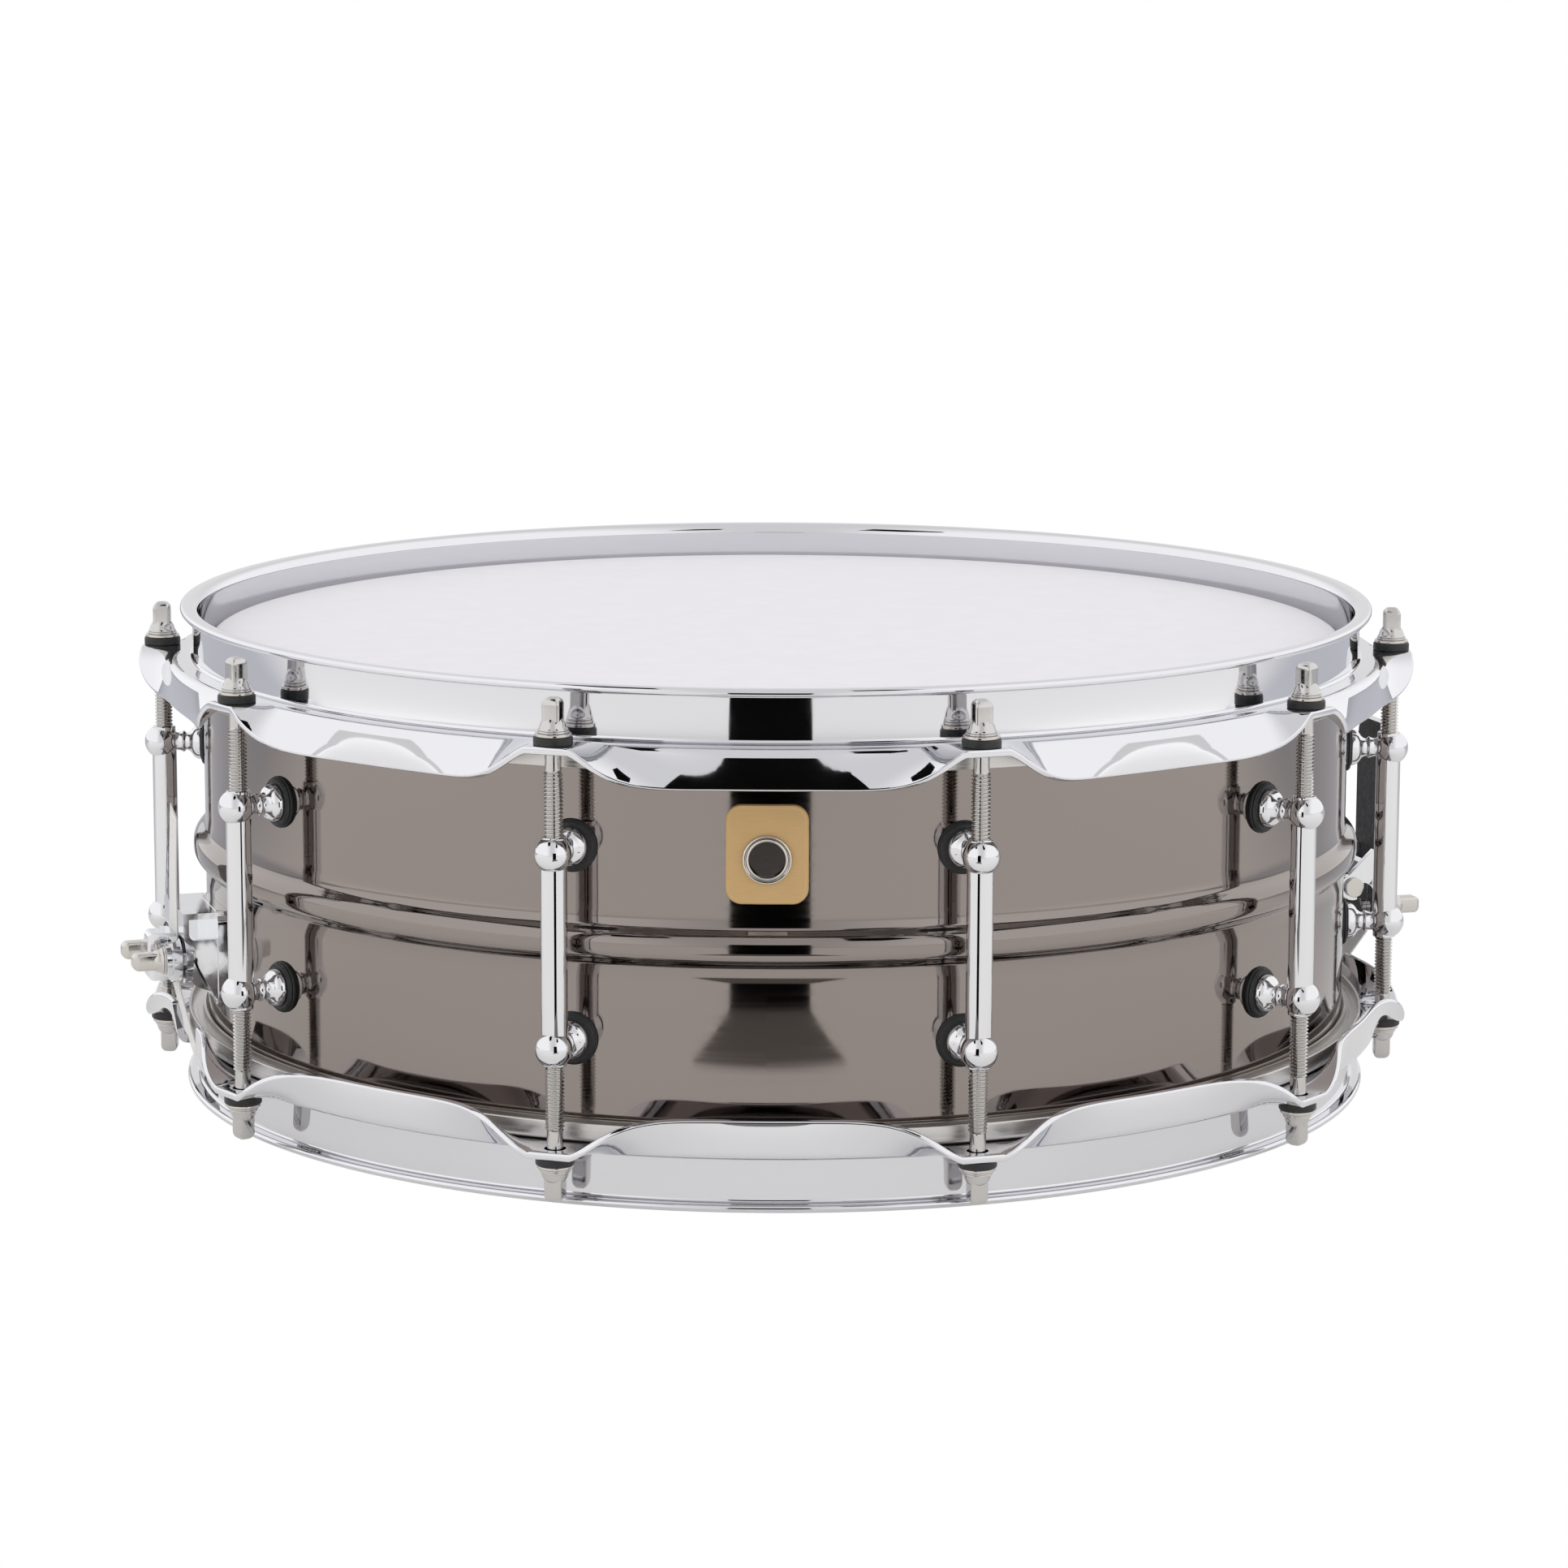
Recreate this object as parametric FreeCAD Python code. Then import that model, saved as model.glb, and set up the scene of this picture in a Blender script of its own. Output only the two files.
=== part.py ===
"""Snare drum, 14 x 5 in: beaded metal shell, triple-flanged hoops, ten tube lugs.

The frame is the drum's own: +Z is the drum axis, up through the batter head, z = 0 is
the underside of the bottom hoop, and the badge faces -Y. Millimetres throughout.
A fitting is drawn in local axes (X radial, Y tangential, Z up) and then turned into place.
"""

import FreeCAD
import Part
import math
import os

V = FreeCAD.Vector
Z_AXIS = V(0, 0, 1)
CENTRE = V(0, 0, 0)

# Driving dimensions
HEIGHT = 147.6                  # over both hoops
MID = HEIGHT / 2                # height of the middle plane
SHELL_R = 176.2                 # a 14 in shell is 13 7/8 in over the metal
SHELL_WALL = 1.2
SHELL_HALF = 63.5               # half of the 5 in depth
EDGE_TURN = 3.6                 # how far the 45 degree edge is turned in
BEAD_HEIGHT = 3.7
BEAD_HALF = 5.4
LUG_COUNT = 10
LUG_R = 190.0                   # circle of the tension rods
EAR_PITCH = 2 * math.pi * LUG_R / LUG_COUNT
BALL_R = 5.3
BALL_OUT = 0.7                  # the balls sit slightly outside the tube's axis
BALL_Z = 27.45                  # above and below the middle plane
TUBE_R = 3.75
LUG_BORE_R = 2.8
ROD_R = 2.72
ROD_END = 19.5                  # lower end of an upper rod above the middle plane
ROD_TIP = 71.25
HOOP_T = 2.2
HOOP_IN_R = 177.0
LIP_R = 182.85
EAR_TOP = 58.1                  # top face of the ears above the middle plane
LEDGE_R = 181.5                 # where the ledge turns into the third flange
FLANGE_LENGTH = 16.0            # developed width of the third flange
FOLD_R = 3.0
FILM = 0.3
HEAD_PLANE = SHELL_HALF + FILM
STRAINER_AT = 108.0
BUTT_AT = -72.0
STRAP_W = 12.0
STRAP_T = 0.4
STRAP_Z = 7.15                  # level at which the straps leave under the bottom head
SNARE_COUNT = 20
SNARE_PITCH = 2.0
SNARE_R = 0.9
SNARE_HALF = 152.0
VENT_Z = MID + 25.4
LUG_ANGLES = [18.0 + 360.0 / LUG_COUNT * i for i in range(LUG_COUNT)]


def placed(shape, angle):
    """Turns a fitting from its local axes to its angle round the shell, 0 at the badge."""
    turned = shape.copy()
    turned.rotate(CENTRE, Z_AXIS, angle - 90.0)
    return turned


def flipped(shape):
    """The mirror image of a shape in the drum's middle plane."""
    return shape.mirror(V(0, 0, MID), Z_AXIS)


def save(name, solids):
    """Writes one node; a list of solids becomes one group of separate solids."""
    shape = Part.Compound(solids) if isinstance(solids, list) else solids
    if not shape.isValid():
        raise RuntimeError(name + " is not valid")
    shape.exportStep("parts/" + name + ".step")


def arc(a, b, c):
    return Part.Arc(a, b, c).toShape()


def line(a, b):
    return Part.LineSegment(a, b).toShape()


def rz(r, z):
    """A point of a radial section: r from the drum axis, z from the middle plane."""
    return V(r, 0, MID + z)


def revolved(edges):
    """A full ring from the edges of its radial section."""
    return Part.Face(Part.Wire(edges)).revolve(CENTRE, Z_AXIS, 360)


def revolved_points(points):
    corners = [rz(r, z) for r, z in points]
    return Part.Face(Part.makePolygon(corners + corners[:1])).revolve(CENTRE, Z_AXIS, 360)


def radial_rod(radius, r_from, r_to, u=0.0, z=0.0):
    """A cylinder along the local radius."""
    return Part.makeCylinder(radius, r_to - r_from, V(r_from, u, z), V(1, 0, 0))


def tangent_rod(radius, half, r, z):
    """A cylinder across the local radius, centred on the fitting."""
    return Part.makeCylinder(radius, 2 * half, V(r, -half, z), V(0, 1, 0))


def slab(points, half, u=0.0):
    """A section in the local radial plane, points (r, z), thickened both ways along u."""
    corners = [V(r, u - half, z) for r, z in points]
    return Part.Face(Part.makePolygon(corners + corners[:1])).extrude(V(0, 2 * half, 0))


def outside_shell(solid):
    """Cuts a foot to the curve of the shell, with a hair of room."""
    return solid.cut(Part.makeCylinder(SHELL_R + 0.02, HEIGHT))


# Shell ---------------------------------------------------------------------------

def shell():
    """Spun brass shell with a central bead, edges turned in, snare beds and holes."""
    def skin(offset):
        wall = SHELL_R - offset
        crown = wall + BEAD_HEIGHT
        shoulder = BEAD_HALF * 0.62
        return [line(rz(wall - EDGE_TURN, -SHELL_HALF), rz(wall, EDGE_TURN - SHELL_HALF)),
                line(rz(wall, EDGE_TURN - SHELL_HALF), rz(wall, -BEAD_HALF - 0.6)),
                Part.BSplineCurve([rz(wall, -BEAD_HALF - 0.6), rz(wall, -BEAD_HALF),
                                   rz(crown, -shoulder), rz(crown, 0), rz(crown, shoulder),
                                   rz(wall, BEAD_HALF), rz(wall, BEAD_HALF + 0.6)],
                                  None, None, False, 3).toShape(),
                line(rz(wall, BEAD_HALF + 0.6), rz(wall, SHELL_HALF - EDGE_TURN)),
                line(rz(wall, SHELL_HALF - EDGE_TURN), rz(wall - EDGE_TURN, SHELL_HALF))]

    outer, inner = skin(0.0), skin(SHELL_WALL)
    ends = [line(outer[0].Vertexes[0].Point, inner[0].Vertexes[0].Point),
            line(outer[-1].Vertexes[-1].Point, inner[-1].Vertexes[-1].Point)]
    body = Part.Face(Part.Wire(Part.__sortEdges__(outer + inner + ends)))
    body = body.revolve(CENTRE, Z_AXIS, 360)
    holes = [placed(radial_rod(2.4, 165, 185, 0, MID + s * BALL_Z), a)
             for a in LUG_ANGLES for s in (1, -1)]
    holes.append(placed(radial_rod(6.3, 165, 185, 0, VENT_Z), 0))
    holes += [placed(radial_rod(2.3, 165, 185, 0, z), a)
              for a, z in mounting_places()]
    bed_depth, bed_half = 1.2, 42.0
    bed_r = (bed_half ** 2 + bed_depth ** 2) / (2 * bed_depth)
    bed = Part.makeCylinder(bed_r, 30, V(160, 0, MID - SHELL_HALF + bed_depth - bed_r),
                            V(1, 0, 0))
    holes += [placed(bed, a) for a in (STRAINER_AT, BUTT_AT)]
    return body.cut(holes)


# Hoops ---------------------------------------------------------------------------

def hoop_ring():
    """Lip, wall and the inner part of the ledge, upper hoop."""
    t, wall = HOOP_T, HOOP_IN_R + HOOP_T
    top, ledge, reach = HEIGHT / 2, EAR_TOP, LEDGE_R
    bend, small, knee = 3.0, 0.8, 1.2       # bends of the lip, outside and inside, and of the ledge
    nose = t / 2
    s = math.sqrt(0.5)
    c_lip = (wall + small, top - bend)
    c_led = (wall + knee, ledge + knee)
    big = t + knee
    return revolved([
        line(rz(HOOP_IN_R, c_led[1]), rz(HOOP_IN_R, c_lip[1])),
        arc(rz(HOOP_IN_R, c_lip[1]), rz(c_lip[0] - bend * s, c_lip[1] + bend * s),
            rz(c_lip[0], top)),
        line(rz(c_lip[0], top), rz(LIP_R - nose, top)),
        arc(rz(LIP_R - nose, top), rz(LIP_R, top - nose), rz(LIP_R - nose, top - t)),
        line(rz(LIP_R - nose, top - t), rz(c_lip[0], top - t)),
        arc(rz(c_lip[0], top - t), rz(c_lip[0] - small * s, c_lip[1] + small * s),
            rz(wall, c_lip[1])),
        line(rz(wall, c_lip[1]), rz(wall, c_led[1])),
        arc(rz(wall, c_led[1]), rz(c_led[0] - knee * s, c_led[1] - knee * s),
            rz(c_led[0], ledge)),
        line(rz(c_led[0], ledge), rz(reach, ledge)),
        line(rz(reach, ledge), rz(reach, ledge - t)),
        line(rz(reach, ledge - t), rz(c_led[0], ledge - t)),
        arc(rz(c_led[0], ledge - t), rz(c_led[0] - big * s, c_led[1] - big * s),
            rz(HOOP_IN_R, c_led[1]))])


def flange_section(fold, angle):
    """The flange beyond the ledge, folded down by `fold` degrees, at `angle` round the hoop."""
    phi = math.radians(max(fold, 0.5))
    start, base = LEDGE_R - 0.1, LEDGE_R + 2.5
    rest = FLANGE_LENGTH - (base - LEDGE_R) - FOLD_R * phi
    z = EAR_TOP

    def along(depth):
        """Points of the surface that lies `depth` under the outer one."""
        r = FOLD_R - depth
        knee = [rz(base + r * math.sin(phi * k), z - FOLD_R + r * math.cos(phi * k))
                for k in (0, 0.5, 1)]
        end = knee[2] + V(rest * math.cos(phi), 0, -rest * math.sin(phi))
        return rz(start, z - depth), knee, end

    a0, ka, a1 = along(0.0)
    b0, kb, b1 = along(HOOP_T)
    wire = Part.Wire([line(a0, ka[0]), arc(*ka), line(ka[2], a1), line(a1, b1),
                      line(b1, kb[2]), arc(kb[2], kb[1], kb[0]), line(kb[0], b0),
                      line(b0, a0)])
    wire.rotate(CENTRE, Z_AXIS, angle)
    return wire


def fold_at(distance):
    """Fold of the flange at a distance from the ear's middle: flat, then a long curve down."""
    flat, full = 7.0, 88.0
    s = min(max((distance - flat) / (EAR_PITCH / 2 - flat), 0.0), 1.0)
    return full * (1.0 - (1.0 - s) ** 2.4) ** 1.5


def hoop():
    """Triple-flanged upper hoop; its ten ears run into each other halfway between the rods."""
    stations = (0.0, 5.0, 7.0, 9.0, 11.5, 14.5, 18.0, 23.0, 30.0, 38.0, 48.0, EAR_PITCH / 2)
    angles = [math.degrees(t / LUG_R) for t in stations]
    sides = [(-a, t) for a, t in zip(angles, stations)][:0:-1] + list(zip(angles, stations))
    ear = Part.makeLoft([flange_section(fold_at(t), a) for a, t in sides], True, False)
    hole = Part.makeCylinder(3.1, 20, V(LUG_R, 0, MID + EAR_TOP - 10))
    ring = hoop_ring().multiFuse([placed(ear, a) for a in LUG_ANGLES])
    return ring.cut([placed(hole, a) for a in LUG_ANGLES]).removeSplitter()


def snare_gate():
    """What is cut from the bottom hoop where a strap leaves: wide at the rim, open to it."""
    low, ledge, rim = 3.4, MID - EAR_TOP, 40.0
    corners = [(-11, low), (-11, ledge - 2), (-14.5, ledge + 4), (-19, ledge + 11),
               (-19, rim), (19, rim), (19, ledge + 11), (14.5, ledge + 4),
               (11, ledge - 2), (11, low)]
    face = Part.Face(Part.makePolygon([V(170, u, z) for u, z in corners + corners[:1]]))
    return face.extrude(V(30, 0, 0))


# Heads ---------------------------------------------------------------------------

def head_film():
    """Upper head: flat film drawn down over the edge into its flesh hoop."""
    wall, edge, low = SHELL_R + 0.1, SHELL_R - EDGE_TURN + 0.1, 50.0
    bend = SHELL_HALF - EDGE_TURN
    return revolved_points([(0, SHELL_HALF), (edge, SHELL_HALF), (wall, bend), (wall, low),
                            (wall + FILM, low), (wall + FILM, bend + 0.15),
                            (edge + 0.15, HEAD_PLANE), (0, HEAD_PLANE)])


def flesh_hoop():
    """Aluminium channel that grips the film, with rounded upper corners."""
    inner, outer = SHELL_R + 0.42, 182.2
    low, high, r = 46.6, EAR_TOP - HOOP_T - 0.1, 1.6
    s = r * math.sqrt(0.5)
    inner_top = 179.6
    return revolved([
        line(rz(inner, low), rz(inner, high - 4.2)),
        line(rz(inner, high - 4.2), rz(inner_top, high)),
        line(rz(inner_top, high), rz(outer - r, high)),
        arc(rz(outer - r, high), rz(outer - r + s, high - r + s), rz(outer, high - r)),
        line(rz(outer, high - r), rz(outer, low)),
        line(rz(outer, low), rz(inner, low))])


# Lugs and rods -------------------------------------------------------------------

def tube_lug():
    """Tube with two balls, each on a turned stem that is screwed to the shell."""
    tube = Part.makeCylinder(TUBE_R, 2 * BALL_Z, V(LUG_R, 0, MID - BALL_Z))
    foot = SHELL_R + 1.8
    profile = [(foot, 0), (foot, 5.75), (foot + 0.8, 5.7), (foot + 1.6, 4.9),
               (foot + 2.6, 3.7), (foot + 3.6, 3.15), (foot + 4.4, 3.1),
               (foot + 5.0, 3.5), (foot + 5.8, 3.6), (foot + 6.4, 3.2),
               (foot + 7.0, 3.1), (foot + 8.2, 3.9), (foot + 9.6, 4.7),
               (foot + 10.6, 4.9), (foot + 11.5, 4.6), (foot + 11.5, 0)]
    solids = [tube]
    for side in (1, -1):
        z = MID + side * BALL_Z
        corners = [V(r, 0, z + w) for r, w in profile]
        stem = Part.Face(Part.makePolygon(corners + corners[:1]))
        solids.append(stem.revolve(V(0, 0, z), V(1, 0, 0), 360))
        solids.append(Part.makeSphere(BALL_R, V(LUG_R + BALL_OUT, 0, z)))
    body = solids[0].multiFuse(solids[1:])
    bore = Part.makeCylinder(LUG_BORE_R, 80, V(LUG_R, 0, MID - 40))
    blind = [radial_rod(2.05, foot - 1, foot + 7.0, 0, MID + s * BALL_Z) for s in (1, -1)]
    return body.cut([bore] + blind)


def lug_gasket(z):
    disc = radial_rod(7.6, SHELL_R - 1, SHELL_R + 1.8, 0, z)
    return outside_shell(disc).cut(radial_rod(2.4, 170, 180, 0, z))


def lug_washer(z):
    top = SHELL_R - SHELL_WALL - 0.1
    return radial_rod(5.0, top - 1.1, top, 0, z).cut(radial_rod(2.3, 165, 180, 0, z))


def hex_screw(z, r_to):
    """A hexagon-head screw from inside the shell; its head seats on a washer or the wall."""
    seat = SHELL_R - SHELL_WALL - 1.2
    flat = [V(seat - 2.8, 4.0 * math.cos(math.radians(k)), z + 4.0 * math.sin(math.radians(k)))
            for k in range(0, 361, 60)]
    head = Part.Face(Part.makePolygon(flat)).extrude(V(2.8, 0, 0))
    return head.fuse(radial_rod(2.0, seat - 0.1, r_to, 0, z))


def key_head(radius_ring, height):
    """Square drum-key head standing on a ring, base at the origin, pointing up."""
    ring = Part.makeCylinder(radius_ring, 1.0)
    dome = Part.makeCone(radius_ring - 0.7, 2.9, 1.0, V(0, 0, 1.0))
    half = 2.75
    square = Part.makeBox(2 * half, 2 * half, height - 1.0, V(-half, -half, 1.0))
    cone = Part.makeCone(4.3, 2.2, 1.9, V(0, 0, height - 1.9))
    trim = Part.makeCylinder(4.3, height - 1.9).fuse(cone)
    post = square.common(trim).common(Part.makeCylinder(3.45, height))
    return ring.multiFuse([dome, post])


def tension_rod():
    """Upper rod: key head, ring and plain body down into the lug's tube."""
    seat = MID + EAR_TOP + 3.3
    head = key_head(4.5, MID + ROD_TIP - seat)
    head.translate(V(LUG_R, 0, seat))
    body = Part.makeCylinder(ROD_R, seat - MID - ROD_END, V(LUG_R, 0, MID + ROD_END))
    return head.fuse(body)


def rod_washer(radius, z, thickness):
    ring = Part.makeCylinder(radius, thickness, V(LUG_R, 0, MID + z))
    return ring.cut(Part.makeCylinder(3.0, 40, V(LUG_R, 0, MID + z - 20)))


# Badge and vent ------------------------------------------------------------------

def badge():
    """Curved plate held by the vent grommet, plain and upright with round corners."""
    half_w, half_h, r, z = 11.5, 14.0, 4.5, VENT_Z + 1.4
    plate = Part.makeBox(8, 2 * half_w, 2 * half_h, V(172, -half_w, z - half_h))
    plate = plate.makeFillet(r, [e for e in plate.Edges
                                 if abs(e.Vertexes[0].X - e.Vertexes[-1].X) > 7])
    plate = outside_shell(plate).common(Part.makeCylinder(SHELL_R + 0.8, HEIGHT))
    return placed(plate.cut(radial_rod(6.2, 165, 185, 0, VENT_Z)), 0)


def vent_grommet():
    """Eyelet rolled over the badge outside and over the shell inside."""
    outer = SHELL_R + 0.85
    flange = radial_rod(6.9, outer, outer + 1.1, 0, VENT_Z)
    rim = [e for e in flange.Edges if abs(e.CenterOfMass.x - outer - 1.1) < 0.01]
    flange = flange.makeFillet(0.9, rim)
    sleeve = radial_rod(6.1, SHELL_R - SHELL_WALL - 1.0, outer + 0.5, 0, VENT_Z)
    back = radial_rod(7.2, SHELL_R - SHELL_WALL - 1.0, SHELL_R - SHELL_WALL - 0.2, 0, VENT_Z)
    body = flange.multiFuse([sleeve, back])
    return placed(body.cut(radial_rod(5.1, 165, 185, 0, VENT_Z)), 0)


# Snares --------------------------------------------------------------------------

def snare_wires():
    """Twenty coiled strands, each drawn as the rod that its coil fills."""
    z = MID - HEAD_PLANE - 0.05 - SNARE_R
    first = -(SNARE_COUNT - 1) / 2 * SNARE_PITCH
    rods = [Part.makeCylinder(SNARE_R, 2 * SNARE_HALF,
                              V(-SNARE_HALF, first + i * SNARE_PITCH, z), V(1, 0, 0))
            for i in range(SNARE_COUNT)]
    return [placed(rod, STRAINER_AT) for rod in rods]


def snare_end_plates():
    """Pressed plates that the strands are soldered to, slotted for the straps."""
    top = MID - HEAD_PLANE - 0.05 - 2 * SNARE_R
    plates = []
    for side in (STRAINER_AT, BUTT_AT):
        plate = Part.makeBox(17, 43, 0.8, V(147, -21.5, top - 0.8))
        plate = plate.makeFillet(2.0, [e for e in plate.Edges if e.Length < 0.81])
        slots = [Part.makeBox(1.6, STRAP_W + 1.6, 3, V(r, -STRAP_W / 2 - 0.8, top - 2))
                 for r in (154.2, 159.2)]
        plates.append(placed(plate.cut(slots), side))
    return plates


def strap(points):
    """A flat strap along points (r, z) of its middle line."""
    near, far = [], []
    for i, (r, z) in enumerate(points):
        before, after = points[max(i - 1, 0)], points[min(i + 1, len(points) - 1)]
        run = math.hypot(after[0] - before[0], after[1] - before[1])
        nr, nz = -(after[1] - before[1]) / run, (after[0] - before[0]) / run
        near.append((r + nr * STRAP_T / 2, z + nz * STRAP_T / 2))
        far.append((r - nr * STRAP_T / 2, z - nz * STRAP_T / 2))
    return slab(near + far[::-1], STRAP_W / 2)


# Clamps shared by strainer and butt ------------------------------------------------

CLAMP_U = 9.0                   # clamp screws each side of the middle
CLAMP_END = 7.2                 # radius of a clamp plate's round ends
SCREW_TIP = 15.4                # screw tips beyond the inner plate's face


def stadium(r_from, r_to, z, end=CLAMP_END):
    """A bar with round ends, in the plane of the clamp."""
    bar = Part.makeBox(r_to - r_from, 2 * CLAMP_U, 2 * end, V(r_from, -CLAMP_U, z - end))
    ends = [radial_rod(end, r_from, r_to, u, z) for u in (-CLAMP_U, CLAMP_U)]
    return bar.multiFuse(ends).removeSplitter()


def clamp_plate(face, z):
    """Outer plate: raised middle block and a round boss under each screw."""
    inner = face + 1.0
    plate = stadium(inner, inner + 2.6, z, 6.6)
    bosses = [radial_rod(5.0, inner, inner + 4.4, u, z) for u in (-CLAMP_U, CLAMP_U)]
    block = Part.makeBox(8.4, 8.4, 14.4, V(inner, -4.2, z - CLAMP_END))
    block = block.makeFillet(1.8, [e for e in block.Edges
                                   if e.CenterOfMass.x > inner + 8.3])
    plate = plate.multiFuse(bosses + [block])
    return plate.cut([radial_rod(2.3, inner - 5, inner + 9, u, z) for u in (-CLAMP_U, CLAMP_U)])


def clamp_screws(face, z):
    """Two key-head screws through the clamp."""
    seat = face + 5.4
    screws = []
    for u in (-CLAMP_U, CLAMP_U):
        head = key_head(4.3, face + SCREW_TIP - seat)
        head.rotate(CENTRE, V(0, 1, 0), 90)
        head.translate(V(seat, u, z))
        screws.append(head.fuse(radial_rod(2.0, face - 1.6, seat + 0.2, u, z)))
    return screws


# Butt ----------------------------------------------------------------------------

BUTT_Z = 46.4                   # height of the clamp
BUTT_FACE = 188.7               # outer face of the butt's inner clamp plate


def butt_bracket():
    """Casting on the shell: open channel above, clamp seat in front, two curved gussets."""
    plate = Part.makeBox(4.0, 33, 28, V(175.2, -16.5, 33.6))
    plate = plate.makeFillet(4.0, [e for e in plate.Edges
                                   if e.Length < 4.01 and abs(e.CenterOfMass.z - 47.6) > 13])
    front = BUTT_FACE + 0.75
    box = Part.makeBox(front - 177.2, 31, 10, V(177.2, -15.5, 51.4))
    box = box.makeFillet(3.4, [e for e in box.Edges
                               if e.CenterOfMass.x > front - 0.1 and e.CenterOfMass.z < 51.5
                               and e.Length > 30])
    groove = Part.makeBox(3, STRAP_W + 1.2, 14, V(BUTT_FACE + 0.2, -STRAP_W / 2 - 0.6, 50))
    box = box.cut(groove)
    hollow = Part.makeBox(front - 180.9, 40, 6.4, V(179.2, -20, 53.2))
    hollow = hollow.makeFillet(2.0, [e for e in hollow.Edges
                                     if e.CenterOfMass.x > front - 1.8 and e.Length > 30
                                     and e.CenterOfMass.z < 54])
    web = slab([(178.5, 52.4), (187.0, 52.4), (187.0, 40.5), (184.6, 37.6), (178.5, 35.0)], 8.0)
    seat = stadium(BUTT_FACE - 2.1, BUTT_FACE, BUTT_Z)
    gusset = [(178.2, 52.4), (186.8, 52.4), (185.6, 48.6), (184.4, 44.4), (182.6, 40.2),
              (180.6, 36.4), (178.6, 33.7)]
    gussets = [slab(gusset, 1.9, u) for u in (-13.6, 13.6)]
    body = plate.multiFuse([box.cut(hollow), web, seat] + gussets)
    teeth = [Part.makeBox(0.5, STRAP_W, 0.9, V(BUTT_FACE, -STRAP_W / 2, BUTT_Z - 4.9 + 1.8 * k))
             for k in range(6)]
    body = outside_shell(body.multiFuse(teeth))
    holes = [radial_rod(2.05, BUTT_FACE - 4, BUTT_FACE + 2, u, BUTT_Z)
             for u in (-CLAMP_U, CLAMP_U)]
    holes += [radial_rod(2.05, 170, 178.8, 0, z) for a, z in mounting_places() if a == BUTT_AT]
    return body.cut(holes)


# Strainer ------------------------------------------------------------------------

STRAINER_Z = 40.3               # height of the clamp with the snares on
STRAINER_FACE = 199.3           # outer face of the lever's clamp plate
PIVOT_R, PIVOT_Z = 192.5, 46.6
PIN_R = 2.0
ARM_U = 7.2                     # middle of a lever arm
ARM_HALF = 1.0
ADJUST_R = 186.0                # axis of the adjusting screw
GUIDE_IN = 8.7                  # inner faces of the guides


def mounting_places():
    """Angle and height of the screws that hold the two mechanisms."""
    return [(STRAINER_AT, 43.0), (STRAINER_AT, 59.0), (BUTT_AT, 38.5), (BUTT_AT, 56.4)]


def strainer_base():
    """Casting on the shell with two guides and the bearing of the adjusting screw."""
    low, high = 39.8, 66.0
    plate = Part.makeBox(4.2, 28, high - low, V(175.2, -14, low))
    plate = plate.makeFillet(3.0, [e for e in plate.Edges
                                   if e.Length < 4.21 and abs(e.CenterOfMass.y) > 13])
    guides = [Part.makeBox(9.0, 2.4, high - low, V(178.5, u, low))
              for u in (GUIDE_IN, -GUIDE_IN - 2.4)]
    tab = Part.makeBox(12.0, 2 * GUIDE_IN + 4.8, 3.0, V(178.5, -GUIDE_IN - 2.4, high - 3.0))
    tab = tab.makeFillet(4.0, [e for e in tab.Edges
                               if e.Length < 3.01 and e.CenterOfMass.x > 190])
    body = outside_shell(plate.multiFuse(guides + [tab]))
    screw = Part.makeCylinder(2.05, 6, V(ADJUST_R, 0, high - 4))
    holes = [radial_rod(2.05, 170, 178.6, 0, z)
             for a, z in mounting_places() if a == STRAINER_AT]
    return body.cut([screw] + holes)


def strainer_slide():
    """Block between the guides, threaded on the adjusting screw, with the lever's bearing."""
    block = Part.makeBox(7.6, 2 * GUIDE_IN - 0.3, 13.0, V(180.2, -GUIDE_IN + 0.15, 41.0))
    boss = Part.makeBox(PIVOT_R - 187.0, 12.0, 8.0, V(187.0, -6.0, PIVOT_Z - 4.0))
    body = block.multiFuse([boss, tangent_rod(4.0, 6.0, PIVOT_R, PIVOT_Z)])
    return body.cut([Part.makeCylinder(2.08, 40, V(ADJUST_R, 0, 30)),
                     tangent_rod(PIN_R, 8, PIVOT_R, PIVOT_Z)])


def strainer_lever():
    """Tall lever: flat grip, two arms down to the pivot and the inner clamp plate."""
    grip = [(200.0, 53.6), (200.0, 92.0), (200.3, 96.0), (201.2, 99.6), (202.6, 100.4),
            (203.4, 99.4), (202.6, 96.0), (202.2, 92.0), (202.2, 53.6)]
    half = ARM_U + ARM_HALF
    outline = Part.makeBox(10, 2 * half, 60, V(196, -half, 41))
    outline = outline.makeFillet(5.0, [e for e in outline.Edges
                                       if e.CenterOfMass.z > 100 and e.Length < 10.01])
    blade = slab(grip, half).common(outline)
    arm = [(188.9, 48.6), (199.2, 58.6), (202.2, 58.6), (202.2, 52.4), (198.0, 47.5),
           (199.2, 44.0), (199.2, 36.0), (197.4, 36.0), (194.8, 43.2)]
    arms = [slab(arm, ARM_HALF, u).fuse(
        Part.makeCylinder(4.3, 2 * ARM_HALF, V(PIVOT_R, u - ARM_HALF, PIVOT_Z), V(0, 1, 0)))
        for u in (-ARM_U, ARM_U)]
    seat = stadium(STRAINER_FACE - 2.0, STRAINER_FACE, STRAINER_Z)
    teeth = [Part.makeBox(0.5, STRAP_W, 0.9,
                          V(STRAINER_FACE, -STRAP_W / 2, STRAINER_Z - 4.9 + 1.8 * k))
             for k in range(6)]
    body = blade.multiFuse(arms + [seat] + teeth)
    holes = [radial_rod(2.05, STRAINER_FACE - 4, STRAINER_FACE + 2, u, STRAINER_Z)
             for u in (-CLAMP_U, CLAMP_U)]
    return body.cut(holes + [tangent_rod(PIN_R + 0.06, 12, PIVOT_R, PIVOT_Z)])


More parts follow.
